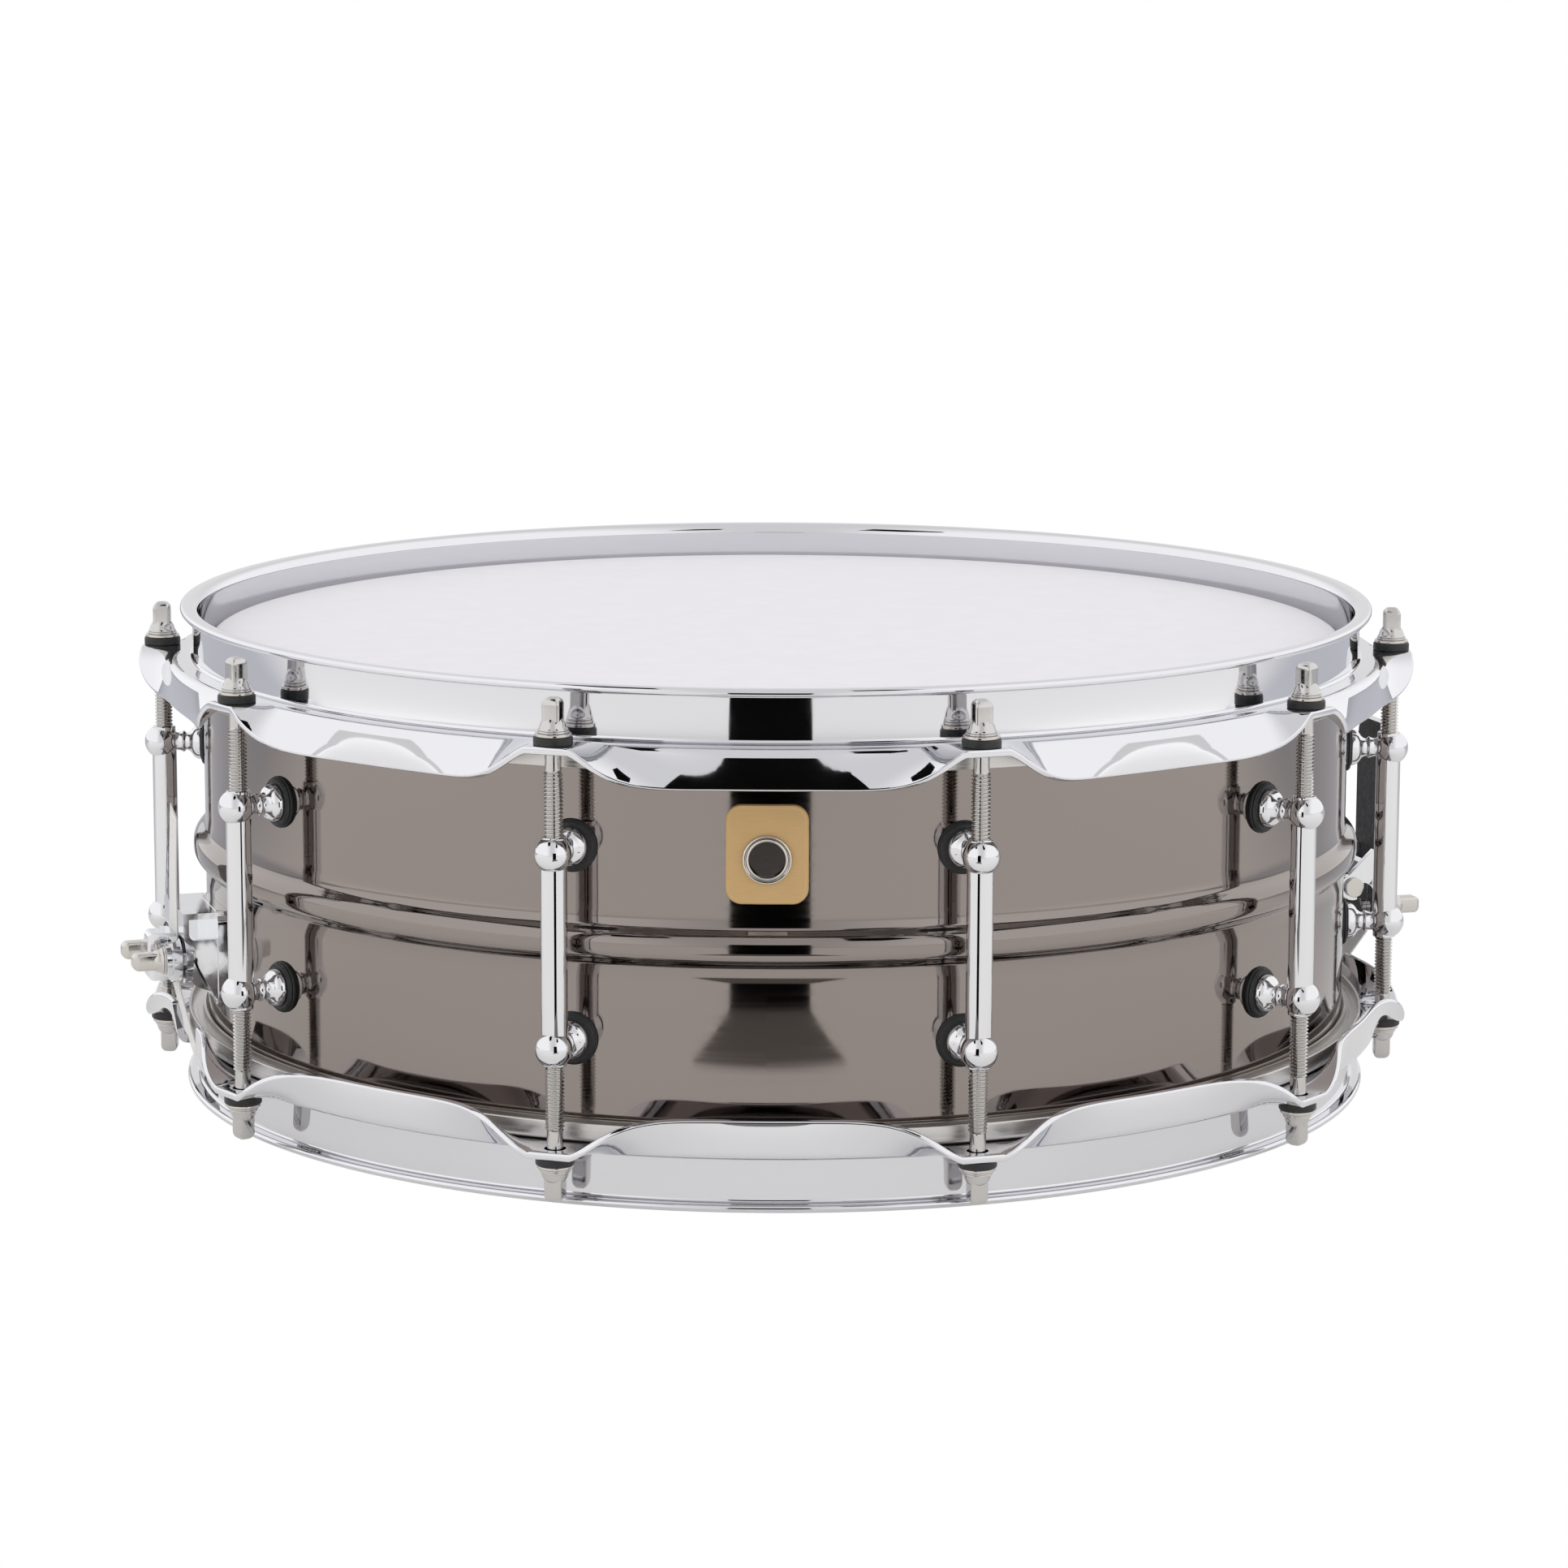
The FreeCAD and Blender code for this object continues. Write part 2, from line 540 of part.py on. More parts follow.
def pivot_pin():
    """Pin pressed in the slide, with a head outside each lever arm."""
    pin = tangent_rod(PIN_R, 9.6, PIVOT_R, PIVOT_Z)
    heads = [Part.makeCylinder(3.2, 1.2, V(PIVOT_R, u, PIVOT_Z), V(0, 1, 0))
             for u in (8.4, -9.6)]
    return pin.multiFuse(heads)


def adjusting_knob():
    """Knurled knob and its screw down through the slide."""
    knob = Part.makeCylinder(4.9, 6.8, V(ADJUST_R, 0, 66.3))
    knob = knob.makeChamfer(0.7, [e for e in knob.Edges if len(e.Vertexes) == 1])
    shank = Part.makeCylinder(2.0, 26.4, V(ADJUST_R, 0, 40.4))
    collar = Part.makeCylinder(3.2, 1.0, V(ADJUST_R, 0, 61.9))
    return knob.multiFuse([shank, collar])


# Assembly ------------------------------------------------------------------------

def straps():
    """Butt strap with its tail standing up, strainer strap with a short tail."""
    butt_r = BUTT_FACE + 0.78
    strainer_r = STRAINER_FACE + 0.78
    start = [(149.5, STRAP_Z - 0.15), (176.0, STRAP_Z - 0.15), (180.4, STRAP_Z + 0.6),
             (182.2, STRAP_Z + 3.4)]
    butt = start + [(188.2, 33.4), (butt_r, 39.4), (butt_r, 53.0), (butt_r, 72.0),
                    (butt_r - 0.6, 91.6)]
    strainer = start + [(198.6, 31.4), (strainer_r, 34.0), (strainer_r, 47.0),
                        (strainer_r - 0.2, 52.0)]
    return strap(butt), strap(strainer)


def main():
    os.makedirs("parts", exist_ok=True)
    save("shell", shell())
    upper = hoop()
    gates = [placed(snare_gate(), a) for a in (STRAINER_AT, BUTT_AT)]
    save("top_hoop", upper)
    save("bottom_hoop", flipped(upper).cut(gates))
    film, grip = head_film(), flesh_hoop()
    save("batter_head_film", film)
    save("snare_head_film", flipped(film))
    save("batter_flesh_hoop", grip)
    save("snare_flesh_hoop", flipped(grip))

    lug, rod = tube_lug(), tension_rod()
    lower_rod = flipped(rod)
    for i, angle in enumerate(LUG_ANGLES, 1):
        save("tube_lug_%02d" % i, placed(lug, angle))
        save("top_tension_rod_%02d" % i, placed(rod, angle))
        save("bottom_tension_rod_%02d" % i, placed(lower_rod, angle))
    steel, nylon = rod_washer(5.15, EAR_TOP + 2.3, 1.0), rod_washer(5.5, EAR_TOP, 2.3)
    feet = [(a, MID + s * BALL_Z) for a in LUG_ANGLES for s in (1, -1)]
    save("rod_steel_washers", [placed(w, a) for a in LUG_ANGLES for w in (steel, flipped(steel))])
    save("rod_nylon_washers", [placed(w, a) for a in LUG_ANGLES for w in (nylon, flipped(nylon))])
    save("lug_gaskets", [placed(lug_gasket(z), a) for a, z in feet])
    save("lug_screw_washers", [placed(lug_washer(z), a) for a, z in feet])
    save("lug_screws", [placed(hex_screw(z, SHELL_R + 7.0), a) for a, z in feet])

    save("badge", badge())
    save("vent_grommet", vent_grommet())
    save("snare_wires", snare_wires())
    save("snare_end_plates", snare_end_plates())

    butt_strap, strainer_strap = straps()
    save("butt_strap", placed(butt_strap, BUTT_AT))
    save("strainer_strap", placed(strainer_strap, STRAINER_AT))
    save("butt_bracket", placed(butt_bracket(), BUTT_AT))
    save("butt_clamp_plate", placed(clamp_plate(BUTT_FACE, BUTT_Z), BUTT_AT))
    save("butt_clamp_screws", [placed(s, BUTT_AT) for s in clamp_screws(BUTT_FACE, BUTT_Z)])
    save("strainer_base", placed(strainer_base(), STRAINER_AT))
    save("strainer_slide", placed(strainer_slide(), STRAINER_AT))
    save("strainer_lever", placed(strainer_lever(), STRAINER_AT))
    save("strainer_pivot_pin", placed(pivot_pin(), STRAINER_AT))
    save("strainer_clamp_plate", placed(clamp_plate(STRAINER_FACE, STRAINER_Z), STRAINER_AT))
    save("strainer_clamp_screws",
         [placed(s, STRAINER_AT) for s in clamp_screws(STRAINER_FACE, STRAINER_Z)])
    save("strainer_adjusting_knob", placed(adjusting_knob(), STRAINER_AT))
    save("mounting_screws", [placed(hex_screw(z, SHELL_R + 2.0), a)
                             for a, z in mounting_places()])


main()
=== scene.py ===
"""Snare drum, 14 x 5 in: black nickel shell, chrome fittings, coated head.

+Z is the drum axis, the badge faces -Y, and z = 0 is the underside of the bottom hoop.
Sizes are in millimetres; `piece` turns them into metres as it builds each mesh.
"""

import math

import bmesh
import bpy
from mathutils import Matrix, Quaternion, Vector


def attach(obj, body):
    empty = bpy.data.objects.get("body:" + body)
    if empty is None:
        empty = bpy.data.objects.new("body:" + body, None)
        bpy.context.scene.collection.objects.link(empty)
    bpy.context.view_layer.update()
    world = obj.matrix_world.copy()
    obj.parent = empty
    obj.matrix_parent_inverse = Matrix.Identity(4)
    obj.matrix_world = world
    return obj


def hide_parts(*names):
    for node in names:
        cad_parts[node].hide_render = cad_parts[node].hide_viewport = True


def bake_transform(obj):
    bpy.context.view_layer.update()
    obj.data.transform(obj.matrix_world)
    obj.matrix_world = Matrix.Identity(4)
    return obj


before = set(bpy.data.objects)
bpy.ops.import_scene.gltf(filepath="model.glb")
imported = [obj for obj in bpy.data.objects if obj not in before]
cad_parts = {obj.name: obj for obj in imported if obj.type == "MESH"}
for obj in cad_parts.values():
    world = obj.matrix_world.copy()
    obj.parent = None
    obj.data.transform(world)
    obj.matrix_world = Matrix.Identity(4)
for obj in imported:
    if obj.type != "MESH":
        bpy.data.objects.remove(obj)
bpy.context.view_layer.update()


# Studio ---------------------------------------------------------------------------------------
# A pale matt table in a white room, lit by a panel at each side and one overhead. Black cards,
# which only mirrors see, stand for the gaps between the panels; a grey card on the table is a
# painted reflection of the front gap.

def linear(colour):
    """sRGB hex, such as "e4e2e6", to linear RGBA."""
    def channel(v):
        return v / 12.92 if v <= 0.04045 else ((v + 0.055) / 1.055) ** 2.4
    return tuple(channel(int(colour[i:i + 2], 16) / 255) for i in (0, 2, 4)) + (1.0,)


def add(tree, kind, links=None, **settings):
    """Adds a node; `links` gives its inputs a socket to read or a value to hold."""
    new = tree.nodes.new(kind)
    for key, value in settings.items():
        setattr(new, key, value)
    for key, value in (links or {}).items():
        if isinstance(value, bpy.types.NodeSocket):
            tree.links.new(value, new.inputs[key])
        else:
            new.inputs[key].default_value = value
    return new


def maths(tree, operation, *values):
    """One sum on sockets or numbers; gives its result."""
    return add(tree, "ShaderNodeMath", dict(enumerate(values)), operation=operation).outputs[0]


def stage_card(name, corners, colour, hidden_from):
    """A flat matt card of the studio, left out of some kinds of ray; gives its material."""
    material = bpy.data.materials.new(name + "_matt")
    material.use_nodes = True
    shader = material.node_tree.nodes["Principled BSDF"]
    shader.inputs["Base Color"].default_value = linear(colour)
    shader.inputs["Roughness"].default_value = 0.9
    shader.inputs["Specular IOR Level"].default_value = 0.1
    mesh = bpy.data.meshes.new(name)
    mesh.from_pydata(corners, [], [list(range(len(corners)))])
    mesh.materials.append(material)
    card = bpy.data.objects.new(name, mesh)
    bpy.context.scene.collection.objects.link(card)
    for ray in hidden_from:
        setattr(card, "visible_" + ray, False)
    return material


TABLE_HALF, TABLE_NEAR, TABLE_PAINTED_SHADE = 30, "d4d3d1", "a6a7ac"
GAP_HALF, GAP_Y, GAP_TOP, CEILING = 0.044, -0.417, 0.17, 0.6
GAP_BLACK, GAP_REFLECTION_GREY = "020202", "757270"
ROOM_LIGHT = 0.77

# The table is painted darker behind the drum, painted shade that only mirrors see; the camera
# doesn't see it, so the ground is white.
corners = [(-TABLE_HALF, -TABLE_HALF, 0), (TABLE_HALF, -TABLE_HALF, 0),
           (TABLE_HALF, TABLE_HALF, 0), (-TABLE_HALF, TABLE_HALF, 0)]
table = stage_card("table", corners, TABLE_NEAR, ("camera",)).node_tree
behind = add(table, "ShaderNodeSeparateXYZ",
             {0: add(table, "ShaderNodeTexCoord").outputs["Object"]}).outputs["Y"]
painted_shade_behind = add(table, "ShaderNodeMapRange", {"Value": behind, "From Min": -0.03, "From Max": 0.3},
             interpolation_type="SMOOTHSTEP")
table_colour_with_painted_shade = add(table, "ShaderNodeMix", {"Factor": painted_shade_behind.outputs[0], "A": linear(TABLE_NEAR),
                                     "B": linear(TABLE_PAINTED_SHADE)}, data_type="RGBA").outputs["Result"]
table_shader = table.nodes["Principled BSDF"].inputs
table.links.new(table_colour_with_painted_shade, table_shader["Base Color"])
# Painted light: the table glows in its own colour, lifting the shade near the drum in mirrors.
table.links.new(table_colour_with_painted_shade, table_shader["Emission Color"])
table_shader["Emission Strength"].default_value = 0.42

only_mirrors = ("camera", "diffuse", "shadow", "transmission")
stage_card("front_gap", [(-GAP_HALF, GAP_Y, 0), (GAP_HALF, GAP_Y, 0), (GAP_HALF, GAP_Y, GAP_TOP),
                         (-GAP_HALF, GAP_Y, GAP_TOP)], GAP_BLACK, only_mirrors)
# Painted reflection: a grey patch on the table before the gap, seen only in mirrors.
stage_card("front_gap_reflection_on_table", [(-GAP_HALF, -0.416, 0.002), (GAP_HALF, -0.416, 0.002),
                                  (0.065, -0.335, 0.002), (-0.065, -0.335, 0.002)],
           GAP_REFLECTION_GREY, only_mirrors)
for name, outline in (("left_ceiling_gap", [(-0.10, -0.06), (-0.135, -0.23), (-0.17, -0.42),
                                            (-0.29, -0.45), (-0.26, -0.19), (-0.19, -0.06)]),
                      ("right_ceiling_gap", [(0.09, -0.27), (0.13, -0.24), (0.26, -0.45),
                                             (0.24, -0.6), (0.15, -0.55)])):
    stage_card(name, [(x, y, CEILING) for x, y in outline], GAP_BLACK, only_mirrors)

# The room is plain white to the camera, and in mirrors brighter towards its two sides.
room = bpy.data.worlds.new("white_room")
room.use_nodes = True
ray = add(room.node_tree, "ShaderNodeLightPath").outputs
towards = add(room.node_tree, "ShaderNodeSeparateXYZ",
              {0: add(room.node_tree, "ShaderNodeTexCoord").outputs["Generated"]}).outputs
sideways = maths(room.node_tree, "ABSOLUTE", towards["X"])
panels = add(room.node_tree, "ShaderNodeMapRange",
             {"Value": sideways, "From Min": 0.1, "From Max": 0.55,
              "To Min": 0.06, "To Max": 0.42}, interpolation_type="SMOOTHSTEP").outputs[0]
mirrored = maths(room.node_tree, "MULTIPLY_ADD", ray["Is Glossy Ray"], panels, ROOM_LIGHT)
seen = maths(room.node_tree, "MAXIMUM", ray["Is Camera Ray"], mirrored)
white = room.node_tree.nodes["Background"]
white.inputs["Color"].default_value = (1.0, 1.0, 1.0, 1.0)
room.node_tree.links.new(seen, white.inputs["Strength"])
bpy.context.scene.world = room

for name, place, wide, high, power in (("left_panel", (-1.75, -0.5, 0.95), 2.2, 1.9, 15.0),
                                       ("right_panel", (1.75, -0.45, 0.95), 2.2, 1.9, 16.0),
                                       ("top_panel", (0.0, 0.5, 2.2), 1.8, 1.8, 5.0)):
    lamp = bpy.data.lights.new(name, "AREA")
    lamp.shape = "RECTANGLE"
    lamp.size, lamp.size_y = wide, high
    lamp.energy = power
    panel = bpy.data.objects.new(name, lamp)
    panel.location = place
    panel.rotation_euler = (-Vector(place)).to_track_quat("-Z", "Y").to_euler()
    panel.visible_glossy = False
    bpy.context.scene.collection.objects.link(panel)

eye = Vector((0.01959, -1.53763, 0.36477))
looks_through = Vector((0.0026, 0.0027, 0.0882))
roll = 0.00323
lens = bpy.data.cameras.new("camera")
lens.lens, lens.sensor_width = 115.4, 36.0
lens.clip_start, lens.clip_end = 0.05, 100.0
camera = bpy.data.objects.new("camera", lens)
camera.rotation_mode = "QUATERNION"
camera.location = eye
camera.rotation_quaternion = ((looks_through - eye).to_track_quat("-Z", "Y")
                              @ Quaternion((0, 0, 1), roll))
bpy.context.scene.collection.objects.link(camera)
bpy.context.scene.camera = camera
bpy.context.scene.view_settings.view_transform = "Standard"


# Shell ----------------------------------------------------------------------------------------
# Brass, spun with a rounded bead round its middle and its edges turned in to 45 degrees.
# Black nickel plate, polished: a dark warm mirror with faint haze along the spinning.

MM = 0.001
HEIGHT = 147.6
MID = HEIGHT / 2
SHELL_R, SHELL_WALL, SHELL_HALF, EDGE_TURN = 176.2, 1.2, 63.5, 3.6
BEAD_HEIGHT, BEAD_HALF = 3.7, 6.0
VENT_Z, VENT_HOLE_R = MID + 25.4, 6.3
STRAINER_AT, BUTT_AT = 108.0, -72.0


def turn(centre, radius, start, end, steps=6):
    """Points of an arc, from and to angles in degrees."""
    angles = [math.radians(start + (end - start) * k / steps) for k in range(steps + 1)]
    return [(centre[0] + radius * math.cos(a), centre[1] + radius * math.sin(a)) for a in angles]


def sweep(rings, closed=True, capped=False):
    """Faces between successive rings of points; closed joins the last ring to the first."""
    n = len(rings[0])
    points = [p for ring in rings for p in ring]
    faces = []
    for i in range(len(rings) if closed else len(rings) - 1):
        a, b = i * n, (i + 1) % len(rings) * n
        faces += [(a + k, a + (k + 1) % n, b + (k + 1) % n, b + k) for k in range(n)]
    if capped:
        faces += [tuple(range(n)), tuple(range(len(points) - n, len(points)))]
    return points, faces


def lathe(outline, steps=96):
    """A closed outline of (r, z) turned once round the Z axis."""
    rings = []
    for i in range(steps):
        a = 2 * math.pi * i / steps
        rings.append([(r * math.cos(a), r * math.sin(a), z) for r, z in outline])
    return sweep(rings)


def together(shapes):
    """Several shapes as one."""
    points, faces = [], []
    for more_points, more_faces in shapes:
        base = len(points)
        points += more_points
        faces += [tuple(base + k for k in face) for face in more_faces]
    return points, faces


def moved(shape, matrix):
    """The shape carried by a matrix."""
    return [tuple(matrix @ Vector(p)) for p in shape[0]], shape[1]


def placed(shape, angle):
    """From local axes (X radial) to an angle round the shell, 0 at the badge."""
    return moved(shape, Matrix.Rotation(math.radians(angle - 90), 4, "Z"))


def flipped(shape):
    """The mirror image in the drum's middle plane."""
    return [(x, y, 2 * MID - z) for x, y, z in shape[0]], shape[1]


def piece(name, shape, material, edge=35.0):
    """A mesh in metres, closed, facing outwards, smooth but for edges sharper than `edge`."""
    mesh = bpy.data.meshes.new(name)
    mesh.from_pydata([[c * MM for c in p] for p in shape[0]], [], shape[1])
    work = bmesh.new()
    work.from_mesh(mesh)
    bmesh.ops.remove_doubles(work, verts=work.verts, dist=1e-7)
    bmesh.ops.recalc_face_normals(work, faces=work.faces)
    work.to_mesh(mesh)
    work.free()
    mesh.shade_smooth()
    mesh.set_sharp_from_angle(angle=math.radians(edge))
    mesh.materials.append(material)
    made = bpy.data.objects.new(name, mesh)
    bpy.context.scene.collection.objects.link(made)
    return made


def applied(obj):
    """Turns an object's modifiers into a plain mesh."""
    bpy.context.view_layer.update()
    seen = obj.evaluated_get(bpy.context.evaluated_depsgraph_get())
    mesh = bpy.data.meshes.new_from_object(seen)
    obj.modifiers.clear()
    obj.data = mesh
    return obj


def pierced(obj, cutter_shape, edge=35.0):
    """Cuts closed solids out of a piece and cleans up after the cut."""
    cutter = piece("cutter", cutter_shape, None)
    cut = obj.modifiers.new("cut", "BOOLEAN")
    cut.operation, cut.solver, cut.object = "DIFFERENCE", "EXACT", cutter
    applied(obj)
    bpy.data.objects.remove(cutter)
    obj.data.shade_smooth()
    obj.data.set_sharp_from_angle(angle=math.radians(edge))
    return obj


def peg(radius, low, high, steps=48):
    """A solid of revolution's plainest form: a round peg on the Z axis, for cutting."""
    return lathe([(0, low), (radius, low), (radius, high), (0, high)], steps)


def radial(shape, z=0.0, u=0.0):
    """From the Z axis to the local radial axis, at height z and offset u."""
    lay = Matrix(((0, 0, 1, 0), (0, 1, 0, u), (-1, 0, 0, z), (0, 0, 0, 1)))
    return moved(shape, lay)


def fit(obj, body, slot, *nodes):
    """The piece rides on a body and stands for CAD nodes, which it hides; the slot is not used."""
    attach(obj, body)
    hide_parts(*nodes)
    return obj


def plated(name, colour, roughness, metallic=1.0):
    """The plain start of every finish: one Principled shader with typical values."""
    material = bpy.data.materials.new(name)
    material.use_nodes = True
    shader = material.node_tree.nodes["Principled BSDF"]
    shader.inputs["Base Color"].default_value = linear(colour)
    shader.inputs["Roughness"].default_value = roughness
    shader.inputs["Metallic"].default_value = metallic
    return material


def shader_of(material):
    """The Principled shader of a finish."""
    return material.node_tree.nodes["Principled BSDF"]


def drum_coordinates(material):
    """Radius, distance round the drum and height, so that a pattern can follow the spinning."""
    tree = material.node_tree
    place = add(tree, "ShaderNodeSeparateXYZ",
                {0: add(tree, "ShaderNodeTexCoord").outputs["Object"]})
    x, y, z = (place.outputs[axis] for axis in "XYZ")
    angle = maths(tree, "ARCTAN2", x, y)
    across = maths(tree, "MULTIPLY", angle, SHELL_R * MM)
    squares = maths(tree, "MULTIPLY_ADD", y, y, maths(tree, "MULTIPLY", x, x))
    radius = maths(tree, "SQRT", squares)
    return add(tree, "ShaderNodeCombineXYZ", {0: radius, 1: across, 2: z}).outputs[0]


def grain(material, size, stretch=(1.0, 1.0, 1.0), detail=3.0, coordinates=None):
    """Noise whose grains are `size` millimetres across, longer where stretch is above 1."""
    tree = material.node_tree
    place = coordinates or add(tree, "ShaderNodeTexCoord").outputs["Object"]
    scale = [1.0 / (size * MM * s) for s in stretch]
    spread = add(tree, "ShaderNodeMapping", {"Vector": place, "Scale": scale})
    return add(tree, "ShaderNodeTexNoise",
               {"Vector": spread.outputs[0], "Scale": 1.0, "Detail": detail}).outputs[0]


def varied(material, channel, pattern, low, high):
    """A shader channel follows a pattern between two values."""
    tree = material.node_tree
    span = add(tree, "ShaderNodeMapRange", {"Value": pattern, "From Min": 0.3, "From Max": 0.7,
                                            "To Min": low, "To Max": high})
    tree.links.new(span.outputs[0], shader_of(material).inputs[channel])


def tinted(material, pattern, first, second):
    """The colour wanders between two values with a pattern."""
    tree = material.node_tree
    mix = add(tree, "ShaderNodeMix", {"Factor": pattern, "A": linear(first),
                                      "B": linear(second)}, data_type="RGBA")
    tree.links.new(mix.outputs["Result"], shader_of(material).inputs["Base Color"])


def embossed(material, pattern, depth, strength=1.0):
    """A pattern stands out from the surface by up to `depth` millimetres."""
    tree = material.node_tree
    bump = add(tree, "ShaderNodeBump", {"Height": pattern, "Distance": depth * MM,
                                        "Strength": strength})
    tree.links.new(bump.outputs[0], shader_of(material).inputs["Normal"])


def bead(z):
    """Height of the bead over the wall, z from the middle plane."""
    t = min(abs(z) / BEAD_HALF, 1.0)
    return BEAD_HEIGHT * (1.0 - t ** 3.2) ** 1.9


def shell_shape():
    """The wall round the drum, its lower edge dipping at two places as a bed for the snares."""
    flat = SHELL_HALF - EDGE_TURN
    edge = [flat + EDGE_TURN * k / 4 for k in range(5)]
    wall = [BEAD_HALF + (flat - BEAD_HALF) * k / 13 for k in range(13)]
    rise = [BEAD_HALF * k / 18 for k in range(18)]
    up = rise + wall + edge
    heights = [-z for z in reversed(up)][:-1] + up

    def skin(offset):
        return [(SHELL_R - offset - max(abs(z) - flat, 0.0) + bead(z), z) for z in heights]

    outline = skin(0.0) + skin(SHELL_WALL)[::-1]
    bed_half, bed_depth, steps = 42.0, 1.2, 360
    rings = []
    for i in range(steps):
        angle = 360.0 * i / steps
        gap = min(abs((angle - at + 180) % 360 - 180) for at in (STRAINER_AT, BUTT_AT))
        share = max(1.0 - (math.radians(gap) * SHELL_R / bed_half) ** 2, 0.0)
        lowest = bed_depth * share - SHELL_HALF
        a = math.radians(angle - 90)
        rings.append([(r * math.cos(a), r * math.sin(a), MID + max(z, lowest))
                      for r, z in outline])
    return sweep(rings)


black_nickel = plated("black_nickel_plate", "8f8783", 0.06)
spinning = grain(black_nickel, 1.6, (1.0, 60.0, 1.0), 4.0, drum_coordinates(black_nickel))
varied(black_nickel, "Roughness", spinning, 0.045, 0.085)
embossed(black_nickel, spinning, 0.0008, 0.4)

shell = pierced(piece("spun_shell", shell_shape(), black_nickel),
                placed(radial(peg(VENT_HOLE_R, 160, 190), VENT_Z), 0))
fit(shell, "root", "shell", "shell")


# Badge and vent grommet -----------------------------------------------------------------------
# A curved brass plate, satin brushed, with a fine raised border and nothing written on it.
# A nickel eyelet rolled through the vent hole holds it to the shell.

BADGE_W, BADGE_H, BADGE_CORNER, BADGE_T = 23.0, 28.0, 4.5, 0.8
VENT_R, GROMMET_R = 5.1, 6.9


def rounded_reach(angle, half_w, half_h, corner, centre_v):
    """Distance from the hole to a rounded rectangle's edge in one direction."""
    low, high = 0.0, 60.0
    for _ in range(40):
        middle = (low + high) / 2
        u, v = middle * math.cos(angle), middle * math.sin(angle) - centre_v
        du, dv = max(abs(u) - half_w + corner, 0.0), max(abs(v) - half_h + corner, 0.0)
        inside = math.hypot(du, dv) <= corner and abs(u) <= half_w and abs(v) <= half_h
        low, high = (middle, high) if inside else (low, middle)
    return low


def badge_shape():
    """Rings from the hole out to the edge, bent onto the shell."""
    steps, centre_v = 144, 1.4
    lift, rim_in, rim_out = 0.12, 1.0, 0.4
    rows = [("hole", 0.0, 0.02), ("hole", 0.0, BADGE_T), ("edge", rim_in + 0.5, BADGE_T),
            ("edge", rim_in + 0.12, BADGE_T), ("edge", rim_in, BADGE_T + lift * 0.7),
            ("edge", rim_in - 0.12, BADGE_T + lift), ("edge", rim_out, BADGE_T + lift),
            ("edge", rim_out - 0.12, BADGE_T + lift * 0.8), ("edge", 0.1, BADGE_T - 0.1),
            ("edge", 0.0, BADGE_T - 0.25), ("edge", 0.0, 0.02)]
    rings = []
    for i in range(steps):
        a = 2 * math.pi * i / steps
        ring = []
        for kind, inset, height in rows:
            reach = 6.2 if kind == "hole" else rounded_reach(
                a, BADGE_W / 2 - inset, BADGE_H / 2 - inset, BADGE_CORNER - inset, centre_v)
            u, v = reach * math.cos(a), reach * math.sin(a)
            around, r = u / SHELL_R, SHELL_R + height
            ring.append((r * math.cos(around), r * math.sin(around), VENT_Z + v))
        rings.append(ring)
    return placed(sweep(rings), 0)


satin_brass = plated("satin_lacquered_brass", "c9a775", 0.5, 0.45)
brushing = grain(satin_brass, 0.25, (20.0, 1.0, 1.0))
tinted(satin_brass, brushing, "c29f6c", "cfae7e")
varied(satin_brass, "Roughness", grain(satin_brass, 6.0), 0.44, 0.58)
embossed(satin_brass, brushing, 0.0025, 0.4)
fit(piece("badge_plate", badge_shape(), satin_brass, 20.0), "root", "badge", "badge")

polished_nickel = plated("polished_nickel", "d6d0c8", 0.1)
varied(polished_nickel, "Roughness", grain(polished_nickel, 2.5), 0.08, 0.2)
back, front = SHELL_R - SHELL_WALL, SHELL_R + BADGE_T + 0.05
eyelet = ([(VENT_R, back - 1.0), (VENT_R, front + 0.5)]
          + turn((VENT_R + 0.35, front + 0.55), 0.35, 180, 80, 5)
          + turn((5.85, front + 0.75), 0.08, 200, 340, 3)
          + turn((6.35, front + 0.5), 0.55, 100, 15, 7)
          + [(GROMMET_R + 0.05, front), (6.15, front), (6.15, back - 0.2), (7.2, back - 0.2),
             (7.2, back - 0.8), (6.9, back - 1.0)])
fit(piece("vent_eyelet", placed(radial(lathe(eyelet, 96), VENT_Z), 0), polished_nickel),
    "root", "vent_grommet", "vent_grommet")


# Heads ----------------------------------------------------------------------------------------
# Polyester film drawn over the shell's edge into its flesh hoop. The upper one is sprayed
# with a gritty white coating; the lower one is thin, clear and a little hazy.

FILM = 0.3
HEAD_PLANE = SHELL_HALF + FILM


def head_shape():
    """A pan of film: flat over the edge, round its shoulder and down into the flesh hoop."""
    edge, wall = SHELL_R - EDGE_TURN, SHELL_R + 0.1
    low, bend = 51.2, SHELL_HALF - EDGE_TURN
    top = [(0, HEAD_PLANE), (60, HEAD_PLANE), (120, HEAD_PLANE), (edge - 0.7, HEAD_PLANE)]
    shoulder = turn((edge - 0.7, HEAD_PLANE - 1.7), 1.7, 90, 45, 5)
    down = turn((wall - 1.4, bend - 0.6), 1.7, 45, 0, 5)
    outer = top + shoulder + down + [(wall + FILM, low)]
    inner = [(wall, low), (wall, bend - 0.6), (edge, SHELL_HALF), (0, SHELL_HALF)]
    return lathe([(r, MID + z) for r, z in outer + inner], 256)


coated_film = plated("sprayed_white_coating", "dfdde1", 0.62, 0.0)
shader_of(coated_film).inputs["Specular IOR Level"].default_value = 0.3
grit = grain(coated_film, 0.55, detail=5.0)
tinted(coated_film, grain(coated_film, 9.0, detail=6.0), "dbd9dd", "e2e0e4")
varied(coated_film, "Roughness", grit, 0.52, 0.78)
embossed(coated_film, grit, 0.05, 0.5)
fit(piece("coated_head", head_shape(), coated_film), "root", "batter_head",
    "batter_head_film")

